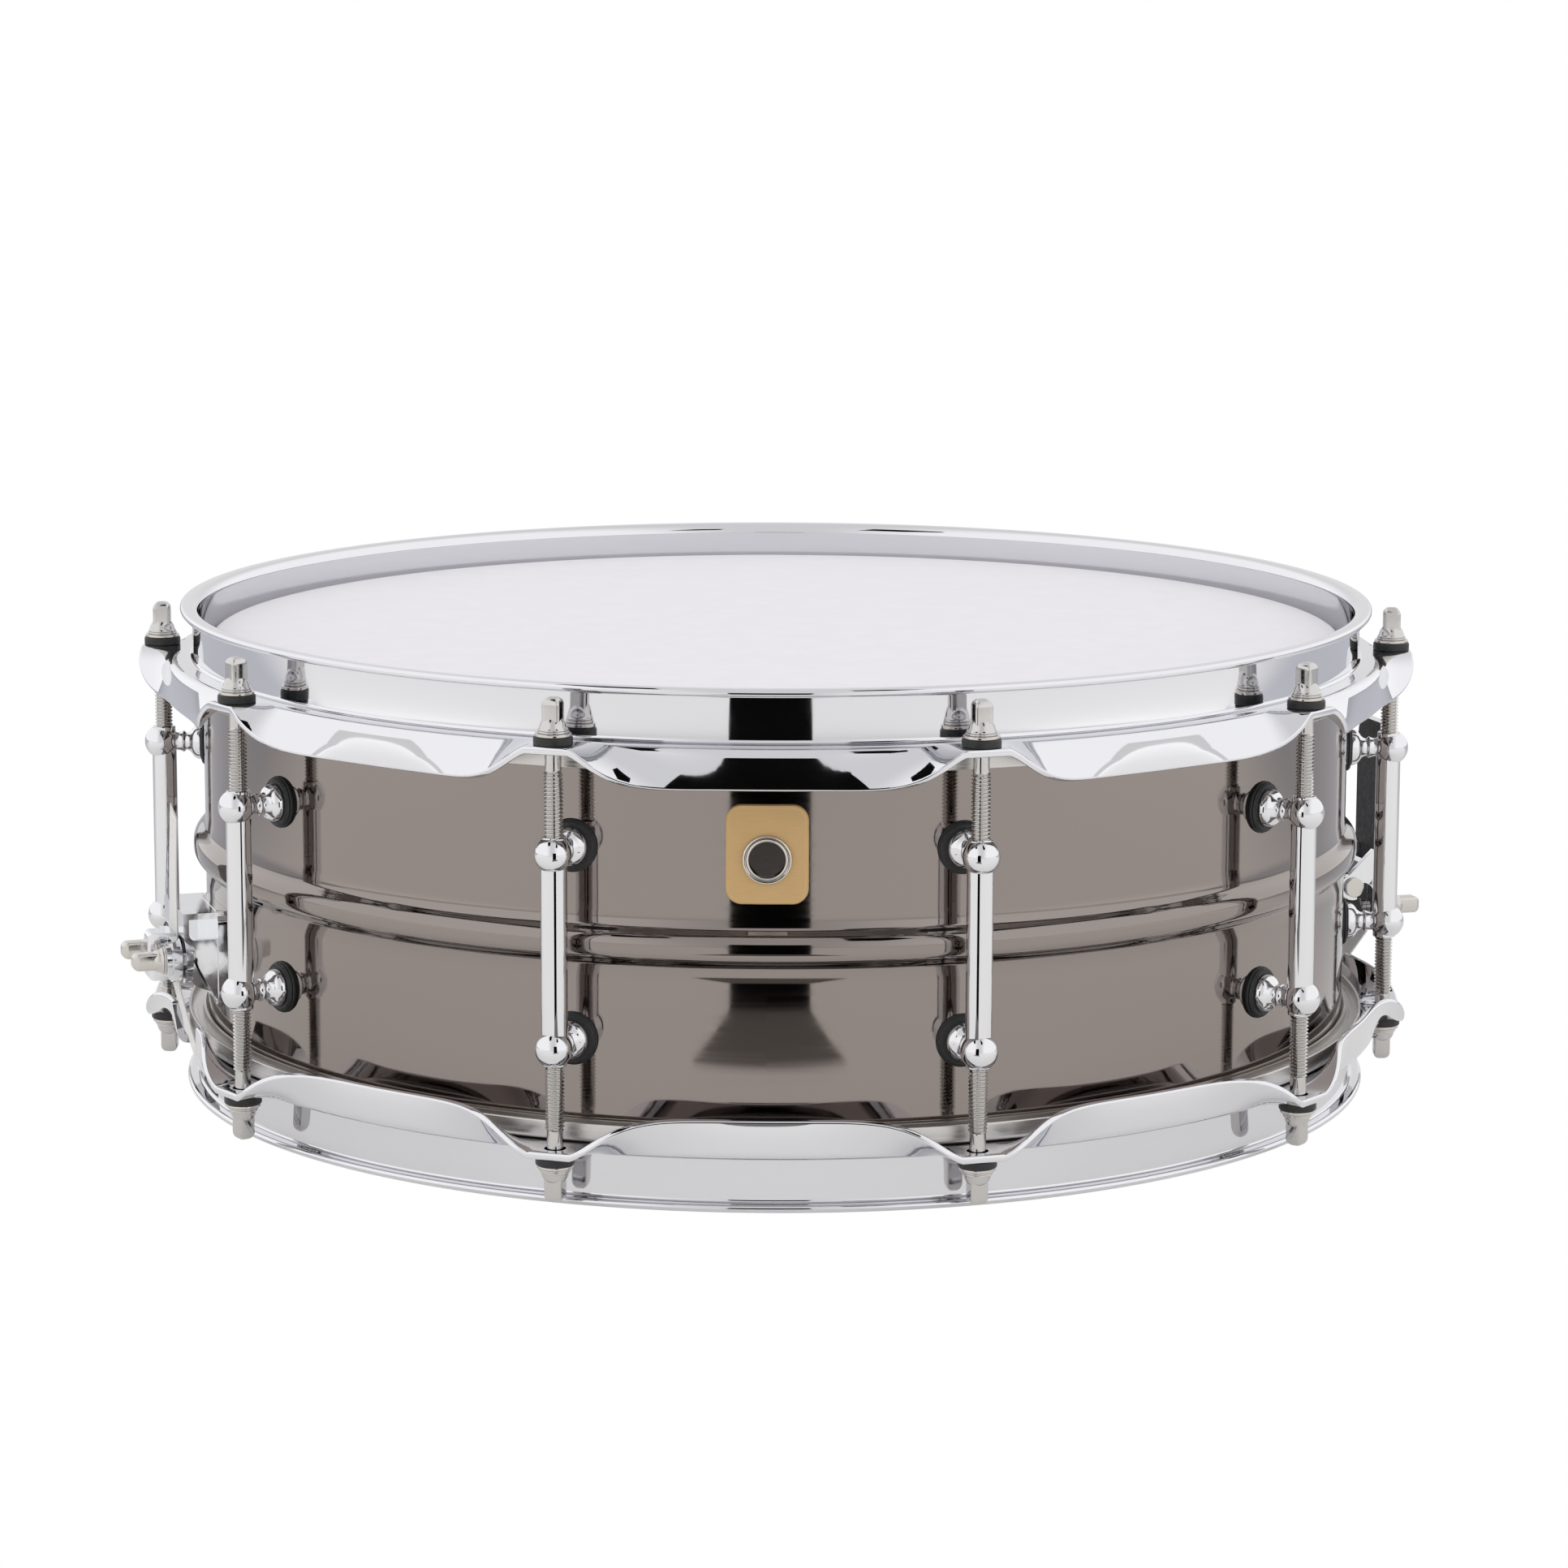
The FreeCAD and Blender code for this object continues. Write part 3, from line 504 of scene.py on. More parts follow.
# Its trace of glow stands for the light that falls through the upper head.
hazy_film = plated("hazy_clear_film", "eceef0", 0.22, 0.0)
film_shader = shader_of(hazy_film).inputs
film_shader["Alpha"].default_value = 0.42
film_shader["Emission Color"].default_value = linear("c8b8a8")
film_shader["Emission Strength"].default_value = 0.028
varied(hazy_film, "Roughness", grain(hazy_film, 12.0), 0.16, 0.3)
fit(piece("snare_side_head", flipped(head_shape()), hazy_film), "root", "snare_head",
    "snare_head_film")


# Flesh hoops ----------------------------------------------------------------------------------
# An aluminium channel that grips each film, rolled and left with the marks of its drawing,
# which run round the hoop.

FLESH_OUT, FLESH_LOW, FLESH_HIGH = 182.2, 50.2, 55.8
flesh = ([(177.0, FLESH_LOW), (176.62, FLESH_LOW + 0.4), (176.62, 52.4), (179.6, FLESH_HIGH)]
         + turn((FLESH_OUT - 1.6, FLESH_HIGH - 1.6), 1.6, 90, 0, 6)
         + turn((FLESH_OUT - 0.45, FLESH_LOW + 0.45), 0.45, 0, -180, 6)
         + [(FLESH_OUT - 0.9, FLESH_LOW + 2.0), (177.9, FLESH_LOW + 2.0), (177.9, FLESH_LOW)])
flesh_shape = lathe([(r, MID + z) for r, z in flesh], 256)
drawn_aluminium = plated("drawn_aluminium", "cfccc9", 0.42)
marks = grain(drawn_aluminium, 0.35, (1.0, 90.0, 1.0), 4.0, drum_coordinates(drawn_aluminium))
tinted(drawn_aluminium, marks, "bebab7", "dddad7")
varied(drawn_aluminium, "Roughness", marks, 0.24, 0.46)
embossed(drawn_aluminium, marks, 0.01, 0.6)
for name, shape, node in (("upper_flesh_ring", flesh_shape, "batter_flesh_hoop"),
                          ("lower_flesh_ring", flipped(flesh_shape), "snare_flesh_hoop")):
    fit(piece(name, shape, drawn_aluminium), "root", "flesh_hoops", node)


# Hoops ----------------------------------------------------------------------------------------
# Steel sheet pressed with three flanges: a rolled lip, a ledge on the flesh hoop, and a skirt
# that lies flat as an ear at each rod and folds down between. Mirror chrome.

HOOP_T, HOOP_IN_R, LIP_R = 2.2, 177.0, 182.85
EAR_TOP, LEDGE_R, FLANGE_LENGTH, FOLD_R = 58.1, 181.5, 16.0, 3.0
SKIRT_FOLD, EAR_TRIM, ROD_HOLE_R = 88.0, 1.5, 3.1
LUG_COUNT, LUG_R = 10, 190.0
EAR_PITCH = 2 * math.pi * LUG_R / LUG_COUNT
LUG_ANGLES = [18.0 + 360.0 / LUG_COUNT * i for i in range(LUG_COUNT)]


def fold_at(distance):
    """Fold of the skirt at a distance from the ear's middle: flat, then a quick curve down."""
    flat = 6.0
    s = min(max((distance - flat) / (EAR_PITCH / 2 - flat), 0.0), 1.0)
    return SKIRT_FOLD * (1.0 - (1.0 - s) ** 3.2) ** 1.35


def hoop_section(fold):
    """The pressing's closed section, with its skirt folded down by `fold` degrees."""
    wall, top, t = HOOP_IN_R + HOOP_T, HEIGHT / 2, HOOP_T
    lip, bend = (wall + 0.8, top - 3.0), 0.8
    knee = (wall + 1.2, EAR_TOP + 1.2)
    base = (LEDGE_R + 2.5, EAR_TOP - FOLD_R)
    trim = EAR_TRIM * (1 - fold / SKIRT_FOLD) ** 3
    length = FLANGE_LENGTH - 2.5 - FOLD_R * math.radians(fold) - trim
    a = math.radians(fold)
    along, out = Vector((math.cos(a), -math.sin(a))), Vector((math.sin(a), math.cos(a)))
    end = Vector(base) + FOLD_R * out + length * along
    soft = 0.65
    upper = end - soft * along - soft * out
    lower = end - soft * along - (t - soft) * out
    return ([(HOOP_IN_R, knee[1] + (lip[1] - knee[1]) * k / 3) for k in range(3)]
            + turn(lip, bend + t, 180, 90, 8)
            + turn((LIP_R - t / 2, top - t / 2), t / 2, 90, -90, 10)
            + turn(lip, bend, 90, 180, 5)
            + turn(knee, 1.2, 180, 270, 6)
            + [(LEDGE_R + 0.8, EAR_TOP)]
            + turn(base, FOLD_R, 90, 90 - fold, 8)
            + [tuple(end - (length * 0.5) * along)]
            + turn(upper, soft, 90 - fold, -fold, 4)
            + turn(lower, soft, -fold, -90 - fold, 4)
            + [tuple(end - t * out - (length * 0.5) * along)]
            + turn(base, FOLD_R - t, 90 - fold, 90, 8)
            + turn(knee, 1.2 + t, 270, 180, 8))


def hoop_shape():
    """The section carried round the drum; stations lie closer together at the ears."""
    half = 36
    rings = []
    for at in LUG_ANGLES:
        for k in range(-half, half):
            share = 0.6 * (k / half) + 0.4 * (k / half) ** 3
            distance = EAR_PITCH / 2 * share
            a = math.radians(at - 90) + distance / LUG_R
            rings.append([(r * math.cos(a), r * math.sin(a), MID + z)
                          for r, z in hoop_section(fold_at(abs(distance)))])
    return sweep(rings)


def snare_gate(angle):
    """What is cut from the lower hoop where a strap leaves."""
    ledge, low, rim = MID - EAR_TOP, 3.4, 40.0
    half = [(11, low), (11, ledge - 2), (14.5, ledge + 4), (19, ledge + 11), (19, rim)]
    corners = half + [(-u, z) for u, z in reversed(half)]
    return placed(sweep([[(r, u, z) for u, z in corners] for r in (168, 204)], False, True),
                  angle)


mirror_chrome = plated("mirror_chrome", "dbdbdf", 0.04)
varied(mirror_chrome, "Roughness", grain(mirror_chrome, 14.0, detail=6.0), 0.025, 0.055)
embossed(mirror_chrome, grain(mirror_chrome, 9.0), 0.006, 0.2)
rod_hole = moved(peg(ROD_HOLE_R, -20, 20, 32), Matrix.Translation((LUG_R, 0, MID + EAR_TOP)))
rod_holes = together([placed(rod_hole, a) for a in LUG_ANGLES])
top_hoop = pierced(piece("upper_hoop", hoop_shape(), mirror_chrome), rod_holes)
fit(top_hoop, "root", "hoops", "top_hoop")
gates = [snare_gate(a) for a in (STRAINER_AT, BUTT_AT)]
bottom_hoop = pierced(piece("lower_hoop", flipped(hoop_shape()), mirror_chrome),
                      together([flipped(rod_holes)] + gates))
fit(bottom_hoop, "root", "hoops", "bottom_hoop")


# Tube lugs ------------------------------------------------------------------------------------
# A drawn brass tube through two turned balls, each on a stem with a fine ring and a domed foot,
# screwed to the shell through a rubber gasket. Mirror chrome, all in one polish.

BALL_R, BALL_OUT, BALL_Z, TUBE_R, BORE_R = 5.3, 0.7, 27.45, 3.75, 2.8
FOOT = SHELL_R + 1.8


def ball(radius, steps=40):
    """A sphere about the origin."""
    return lathe([(radius * math.sin(math.pi * k / steps), -radius * math.cos(math.pi * k / steps))
                  for k in range(steps + 1)], 64)


def stem_outline():
    """From the axis out along the foot, over its dome, up the waist and into the ball."""
    return ([(0, 0.05), (5.3, 0.05)] + turn((5.3, 0.4), 0.35, -90, 0, 4)
            + turn((2.6, 0.5), 2.95, 6, 62, 10)
            + turn((5.05, 5.3), 2.4, 236, 184, 7)
            + turn((3.0, 5.9), 0.32, -50, 60, 4)
            + turn((5.4, 7.6), 2.6, 204, 150, 6) + [(3.9, 10.0), (3.4, 12.2), (0, 12.2)])


def lug_shape():
    """Tube, balls, stems and the cuffs where the rods enter, in local axes."""
    tube = lathe([(BORE_R, -BALL_Z), (TUBE_R, -BALL_Z), (TUBE_R, BALL_Z), (BORE_R, BALL_Z)], 64)
    rims = lathe([(BORE_R, 0), (3.5, 0), (3.5, BALL_R - 0.7), (3.35, BALL_R - 0.5),
                  (BORE_R, BALL_R - 0.5)], 64)
    shapes = [moved(tube, Matrix.Translation((LUG_R, 0, MID)))]
    for side in (1, -1):
        z = MID + side * BALL_Z
        shapes.append(moved(ball(BALL_R), Matrix.Translation((LUG_R + BALL_OUT, 0, z))))
        shapes.append(moved(radial(lathe(stem_outline(), 64)), Matrix.Translation((FOOT, 0, z))))
        cuff = rims if side > 0 else ([(x, y, -h) for x, y, h in rims[0]], rims[1])
        shapes.append(moved(cuff, Matrix.Translation((LUG_R, 0, z))))
    return together(shapes)


lug_chrome = plated("lug_chrome", "dcdcdf", 0.02)
varied(lug_chrome, "Roughness", grain(lug_chrome, 8.0), 0.012, 0.035)
lug = lug_shape()
for i, angle in enumerate(LUG_ANGLES, 1):
    fit(piece("lug_%02d" % i, placed(lug, angle), lug_chrome), "root", "lugs",
        "tube_lug_%02d" % i)


# Gaskets and washers --------------------------------------------------------------------------
# Moulded rubber under every lug's foot; black nylon and a nickel-plated ring under every rod's
# head. Each is made once and carried round the shell, above and below, by one node tree.

def new_tree(name, inputs, result):
    """A node tree with named inputs of given kinds, and one geometry as its result."""
    tree = bpy.data.node_groups.new(name, "GeometryNodeTree")
    for label, kind in inputs.items():
        tree.interface.new_socket(label, in_out="INPUT", socket_type="NodeSocket" + kind)
    tree.interface.new_socket(result, in_out="OUTPUT", socket_type="NodeSocketGeometry")
    return tree, add(tree, "NodeGroupInput").outputs


def vector(tree, parts):
    """A vector of sockets or numbers by axis, 0 to 2; the rest is zero."""
    return add(tree, "ShaderNodeCombineXYZ", parts).outputs[0]


def round_the_shell():
    """One fitting, its mirror image below, and both repeated at every lug."""
    tree, given = new_tree("round_the_shell", {"Fitting": "Geometry", "Count": "Int",
                                               "First angle": "Float", "Middle height": "Float",
                                               "Finish": "Material"}, "Fittings")
    lift = vector(tree, {2: maths(tree, "MULTIPLY", given["Middle height"], 2.0)})
    below = add(tree, "GeometryNodeTransform", {"Geometry": given["Fitting"],
                                                "Translation": lift,
                                                "Scale": (1.0, 1.0, -1.0)})
    outwards = add(tree, "GeometryNodeFlipFaces", {0: below.outputs[0]})
    pair = add(tree, "GeometryNodeJoinGeometry", {0: outwards.outputs[0]})
    tree.links.new(given["Fitting"], pair.inputs[0])
    places = add(tree, "GeometryNodePoints", {"Count": given["Count"]})
    step = maths(tree, "DIVIDE", 2 * math.pi, given["Count"])
    index = add(tree, "GeometryNodeInputIndex").outputs[0]
    angle = maths(tree, "MULTIPLY_ADD", index, step, given["First angle"])
    spin = add(tree, "FunctionNodeEulerToRotation", {0: vector(tree, {2: angle})})
    repeat = add(tree, "GeometryNodeInstanceOnPoints", {"Points": places.outputs[0],
                                                        "Instance": pair.outputs[0],
                                                        "Rotation": spin.outputs[0]})
    real = add(tree, "GeometryNodeRealizeInstances", {0: repeat.outputs[0]})
    coated = add(tree, "GeometryNodeSetMaterial", {"Geometry": real.outputs[0],
                                                   "Material": given["Finish"]})
    add(tree, "NodeGroupOutput", {0: coated.outputs[0]})
    return tree


def made_by(obj, tree, values):
    """Runs a node tree on an object with named inputs, and keeps the result as plain mesh."""
    grow = obj.modifiers.new("grow", "NODES")
    grow.node_group = tree
    for item in tree.interface.items_tree:
        if item.item_type == "SOCKET" and item.in_out == "INPUT" and item.name in values:
            grow[item.identifier] = values[item.name]
    return applied(obj)


def repeated(name, fitting, material, slot, node):
    """A fitting in local axes at the upper lugs becomes the whole set."""
    made = piece(name, fitting, material)
    made_by(made, fittings_tree, {"Count": LUG_COUNT, "Middle height": MID * MM,
                                  "First angle": math.radians(LUG_ANGLES[0] - 90),
                                  "Finish": material})
    return fit(made, "root", slot, node)


def on_rod(outline, steps=64):
    """A turned ring on the axis of a rod; its heights are from the middle plane."""
    return moved(lathe(outline, steps), Matrix.Translation((LUG_R, 0, MID)))


fittings_tree = round_the_shell()

moulded_rubber = plated("moulded_rubber", "1d1e20", 0.55, 0.0)
varied(moulded_rubber, "Roughness", grain(moulded_rubber, 0.8), 0.42, 0.7)
embossed(moulded_rubber, grain(moulded_rubber, 0.3), 0.02, 0.4)
gasket = ([(2.4, -0.6), (7.4, -0.6)] + turn((7.25, 0.35), 0.35, -20, 90, 4)
          + turn((6.95, 1.05), 0.35, -60, 60, 4) + turn((6.6, 1.45), 0.33, 0, 90, 4)
          + [(2.4, 1.78)])
gasket_shape = moved(radial(lathe(gasket, 64)), Matrix.Translation((SHELL_R, 0, MID + BALL_Z)))
repeated("foot_gaskets", gasket_shape, moulded_rubber, "gaskets", "lug_gaskets")

black_nylon = plated("black_nylon", "17181a", 0.42, 0.0)
varied(black_nylon, "Roughness", grain(black_nylon, 1.5), 0.34, 0.55)
nylon = ([(3.0, 58.12), (5.2, 58.12)] + turn((5.25, 58.4), 0.26, -90, 0, 4)
         + turn((5.05, 59.95), 0.45, 0, 90, 5) + [(3.0, 60.4)])
repeated("nylon_rings", on_rod(nylon), black_nylon, "nylon_washers", "rod_nylon_washers")

nickel = plated("nickel_plate", "cbc5c0", 0.12)
varied(nickel, "Roughness", grain(nickel, 1.8), 0.07, 0.2)
steel = ([(3.0, 60.42), (4.9, 60.42)] + turn((4.85, 60.68), 0.28, -80, 0, 3)
         + turn((4.85, 61.05), 0.28, 0, 80, 3) + [(3.0, 61.38)])
repeated("nickel_rings", on_rod(steel), nickel, "steel_washers", "rod_steel_washers")


# Tension rods ---------------------------------------------------------------------------------
# Cold-headed steel with a square key head on a dome and a ring, a plain neck and a rolled
# thread that runs down into the lug. Nickel plate; each one turns by itself.

ROD_R, ROD_END, ROD_TIP = 2.72, 19.5, 71.25
HEAD_SEAT = EAR_TOP + 3.3
THREAD_PITCH, THREAD_DEPTH, NECK = 1.06, 0.52, 7.1


def rounded_square(half, corner, steps=5):
    """Outline of a square with round corners, anticlockwise."""
    c = half - corner
    return [p for x, y, start in ((c, c, 0), (-c, c, 90), (-c, -c, 180), (c, -c, 270))
            for p in turn((x, y), corner, start, start + 90, steps)]


def key_head(ring_r, height):
    """Ring, dome and square post with a crowned top, standing on the origin."""
    dome_r = ring_r - 0.55
    base = ([(0, 0), (ring_r - 0.15, 0)] + turn((ring_r - 0.3, 0.3), 0.3, -60, 60, 4)
            + [(ring_r - 0.42, 0.62)] + turn((ring_r - 0.55, 0.88), 0.3, -60, 60, 4)
            + turn((0, 1.0), dome_r - 0.1, 8, 52, 8) + [(0, 1.0 + dome_r * 0.82)])
    half, crown = 2.55, 1.9
    rings = [(0.8, 0.0)] + [(height - crown * 1.12 * (1 - math.sin(math.pi / 2 * k / 7)),
                            crown * (1 - math.cos(math.pi / 2 * k / 7))) for k in range(8)]
    post = [[(x, y, z) for x, y in rounded_square(half - inset, 0.75 - 0.3 * inset / crown)]
            for z, inset in rings]
    return together([lathe(base, 64), sweep(post, False, True)])


def thread_shape(low, high, plain, columns=24, rows=6):
    """A screw from low to high on the Z axis: rolled thread that fades at the plain neck."""
    run_out, neck_step = 0.8, 0.12
    count = int((high - low) / THREAD_PITCH * rows) + rows
    shape = [1.0, 0.93, 0.45, 0.04, 0.04, 0.55]
    points, faces = [], []
    for k in range(-rows, count + 1):
        for j in range(columns):
            z = low + (k / rows + j / columns) * THREAD_PITCH
            fade = min(max((plain - z) / run_out, 0.0), 1.0)
            r = ROD_R - THREAD_DEPTH + THREAD_DEPTH * shape[k % rows] * fade
            r = r + (1.0 - fade) * neck_step if z > plain - run_out else r
            z = min(max(z, low), high)
            if k == -rows or k == count:
                z = low if k < 0 else high
            a = 2 * math.pi * j / columns
            points.append((r * math.cos(a), r * math.sin(a), z))
    total = count + rows + 1
    for k in range(total - 1):
        for j in range(columns):
            nxt = (j + 1) % columns
            turn_on = rows if j == columns - 1 else 0
            a0, a1 = k * columns + j, min(k + turn_on, total - 1) * columns + nxt
            b0, b1 = (k + 1) * columns + j, min(k + 1 + turn_on, total - 1) * columns + nxt
            faces.append(tuple(dict.fromkeys((a0, a1, b1, b0))))
    faces = [f for f in faces if len(f) > 2]
    centre_low, centre_high, last = len(points), len(points) + 1, (total - 1) * columns
    points += [(0, 0, low), (0, 0, high)]
    for j in range(columns):
        faces.append((centre_low, (j + 1) % columns, j))
        faces.append((centre_high, last + j, last + (j + 1) % columns))
    return points, faces


rod_nickel = plated("rod_nickel", "c6c4c2", 0.1)
varied(rod_nickel, "Roughness", grain(rod_nickel, 1.2), 0.06, 0.16)
thread = thread_shape(MID + ROD_END, MID + HEAD_SEAT + 0.3, MID + EAR_TOP - NECK)
head = moved(key_head(4.5, ROD_TIP - HEAD_SEAT), Matrix.Translation((0, 0, MID + HEAD_SEAT)))
rod = moved(together([thread, head]), Matrix.Translation((LUG_R, 0, 0)))
for i, angle in enumerate(LUG_ANGLES, 1):
    for place, shape in (("top", rod), ("bottom", flipped(rod))):
        node = "%s_tension_rod_%02d" % (place, i)
        fit(piece("%s_rod_%02d" % (place, i), placed(shape, angle), rod_nickel), node,
            "tension_rods", node)


# Snares ---------------------------------------------------------------------------------------
# Twenty strands of coiled steel wire, soldered at each end to a pressed brass plate, lie
# against the lower head. One node tree winds a strand and lays the twenty side by side.

SNARE_COUNT, SNARE_PITCH, SNARE_R, SNARE_HALF = 20, 2.0, 0.9, 152.0
WIRE_R, COIL_PITCH = 0.22, 1.75
SNARE_Z = MID - HEAD_PLANE - 0.05 - SNARE_R


def strand_tree():
    """Winds one strand on its side and lays a row of them under the head."""
    lengths = ("Spacing", "Turns", "Coil radius", "Wire radius", "Length", "Angle", "Height")
    inputs = {"Start": "Geometry", "Strands": "Int", **dict.fromkeys(lengths, "Float"),
              "Finish": "Material"}
    tree, given = new_tree("coiled_strands", inputs, "Strands")
    coil = add(tree, "GeometryNodeCurveSpiral", {"Resolution": 8, "Rotations": given["Turns"],
                                                 "Start Radius": given["Coil radius"],
                                                 "End Radius": given["Coil radius"],
                                                 "Height": given["Length"]})
    wire = add(tree, "GeometryNodeCurvePrimitiveCircle", {"Resolution": 4,
                                                          "Radius": given["Wire radius"]})
    strand = add(tree, "GeometryNodeCurveToMesh", {"Curve": coil.outputs[0],
                                                   "Profile Curve": wire.outputs[0],
                                                   "Fill Caps": True})
    half = maths(tree, "MULTIPLY", given["Length"], -0.5)
    lay = add(tree, "GeometryNodeTransform", {"Geometry": strand.outputs[0],
                                              "Rotation": (0.0, math.pi / 2, 0.0),
                                              "Translation": vector(tree, {0: half})})
    places = add(tree, "GeometryNodeMeshLine", {"Count": given["Strands"],
                                                "Offset": vector(tree, {1: given["Spacing"]})})
    gaps = maths(tree, "ADD", given["Strands"], -1.0)
    back = maths(tree, "MULTIPLY", maths(tree, "MULTIPLY", gaps, given["Spacing"]), -0.5)
    rows = add(tree, "GeometryNodeTransform", {"Geometry": places.outputs[0],
                                               "Translation": vector(tree, {1: back})})
    laid = add(tree, "GeometryNodeInstanceOnPoints", {"Points": rows.outputs[0],
                                                      "Instance": lay.outputs[0]})
    real = add(tree, "GeometryNodeRealizeInstances", {0: laid.outputs[0]})
    turned = add(tree, "GeometryNodeTransform",
                 {"Geometry": real.outputs[0], "Rotation": vector(tree, {2: given["Angle"]}),
                  "Translation": vector(tree, {2: given["Height"]})})
    coated = add(tree, "GeometryNodeSetMaterial", {"Geometry": turned.outputs[0],
                                                   "Material": given["Finish"]})
    add(tree, "NodeGroupOutput", {0: coated.outputs[0]})
    return tree


bright_wire = plated("bright_steel_wire", "c4c3c2", 0.2)
varied(bright_wire, "Roughness", grain(bright_wire, 1.0), 0.14, 0.3)
strands = piece("snare_strands", ([], []), bright_wire)
made_by(strands, strand_tree(),
        {"Strands": SNARE_COUNT, "Spacing": SNARE_PITCH * MM,
         "Turns": 2 * (SNARE_HALF - 0.3) / COIL_PITCH, "Coil radius": (SNARE_R - WIRE_R) * MM,
         "Wire radius": WIRE_R * MM, "Length": 2 * (SNARE_HALF - 0.3) * MM,
         "Angle": math.radians(STRAINER_AT - 90), "Height": SNARE_Z * MM, "Finish": bright_wire})
strands.data.shade_smooth()
fit(strands, "snares", "snare_wires", "snare_wires")


def softened(name, node, radius, material, body, slot):
    """A casting or pressing whose solid is right: its own mesh, merged, with its edges rounded."""
    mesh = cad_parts[node].data.copy()
    work = bmesh.new()
    work.from_mesh(mesh)
    bmesh.ops.remove_doubles(work, verts=work.verts, dist=1e-6)
    bmesh.ops.dissolve_limit(work, angle_limit=math.radians(1.0), verts=work.verts,
                             edges=work.edges)
    work.to_mesh(mesh)
    work.free()
    mesh.materials.clear()
    mesh.materials.append(material)
    made = bpy.data.objects.new(name, mesh)
    bpy.context.scene.collection.objects.link(made)
    if radius:
        ease = made.modifiers.new("ease", "BEVEL")
        ease.width, ease.segments, ease.limit_method = radius * MM, 3, "ANGLE"
        ease.angle_limit = math.radians(32)
        applied(made)
    made.data.shade_smooth()
    made.data.set_sharp_from_angle(angle=math.radians(50))
    flat = made.modifiers.new("flat", "WEIGHTED_NORMAL")
    flat.keep_sharp = True
    applied(made)
    return fit(made, body, slot, node)


pressed_brass = plated("pressed_brass", "c9ab6d", 0.28)
tinted(pressed_brass, grain(pressed_brass, 5.0), "bf9f60", "d2b67a")
varied(pressed_brass, "Roughness", grain(pressed_brass, 1.5), 0.2, 0.4)
softened("soldered_plates", "snare_end_plates", 0.15, pressed_brass, "snares",
         "snare_end_plates")


# Butt -----------------------------------------------------------------------------------------
# A die-cast bracket with an open channel above and the strap's clamp in front: an inner face
# on the casting, an outer plate and two key screws. Chrome plate over the casting's soft edges.

BUTT_Z, BUTT_FACE = 46.4, 188.7
CLAMP_U, SCREW_TIP = 9.0, 15.4

cast_chrome = plated("chrome_on_die_casting", "dcdde0", 0.07)
varied(cast_chrome, "Roughness", grain(cast_chrome, 3.0), 0.04, 0.12)
embossed(cast_chrome, grain(cast_chrome, 2.5), 0.02, 0.3)
softened("butt_casting", "butt_bracket", 0.5, cast_chrome, "root", "fittings")
softened("butt_outer_plate", "butt_clamp_plate", 0.3, cast_chrome, "root", "fittings")


def key_screws(face, z):
    """Two key-head screws through a clamp, in local axes."""
    seat = face + 5.4
    screws = []
    for u in (-CLAMP_U, CLAMP_U):
        shank = lathe([(0, face - 1.6), (1.8, face - 1.6), (2.0, face - 1.3), (2.0, seat + 0.2),
                       (0, seat + 0.2)], 32)
        top = moved(key_head(4.3, face + SCREW_TIP - seat), Matrix.Translation((0, 0, seat)))
        screws.append(radial(together([shank, top]), z, u))
    return together(screws)


screw_nickel = plated("screw_nickel", "c9c5c1", 0.13)
varied(screw_nickel, "Roughness", grain(screw_nickel, 1.2), 0.08, 0.22)
fit(piece("butt_key_screws", placed(key_screws(BUTT_FACE, BUTT_Z), BUTT_AT), screw_nickel),
    "root", "key_screws", "butt_clamp_screws")


# Strainer -------------------------------------------------------------------------------------
# The throw-off opposite: a cast base with guides, a slide on the adjusting screw, and a lever
# on a pin, which carries the other clamp. All are chromed die castings but the knurled knob.

STRAINER_Z, STRAINER_FACE, ADJUST_R = 40.3, 199.3, 186.0

softened("strainer_casting", "strainer_base", 0.35, cast_chrome, "root", "fittings")
softened("strainer_block", "strainer_slide", 0.3, cast_chrome, "strainer_slide", "fittings")
lever = softened("throw_off_lever", "strainer_lever", 0.3, cast_chrome, "strainer_lever",
                 "fittings")
# The back of the lever, which faces the shell, is painted dark: painted shade.
lever_back_painted_shade = plated("lever_back_painted_shade", "3a3838", 0.3)
varied(lever_back_painted_shade, "Roughness", grain(lever_back_painted_shade, 2.0), 0.22, 0.42)
lever.data.materials.append(lever_back_painted_shade)
inwards = Vector(placed(([(-1, 0, 0)], []), STRAINER_AT)[0][0])
for face in lever.data.polygons:
    if face.normal.dot(inwards) > 0.8:
        face.material_index = 1
softened("lever_pin", "strainer_pivot_pin", 0.25, screw_nickel, "strainer_slide", "fittings")
softened("lever_outer_plate", "strainer_clamp_plate", 0.3, cast_chrome, "strainer_lever",
         "fittings")
fit(piece("lever_key_screws", placed(key_screws(STRAINER_FACE, STRAINER_Z), STRAINER_AT),
          screw_nickel), "strainer_lever", "key_screws", "strainer_clamp_screws")


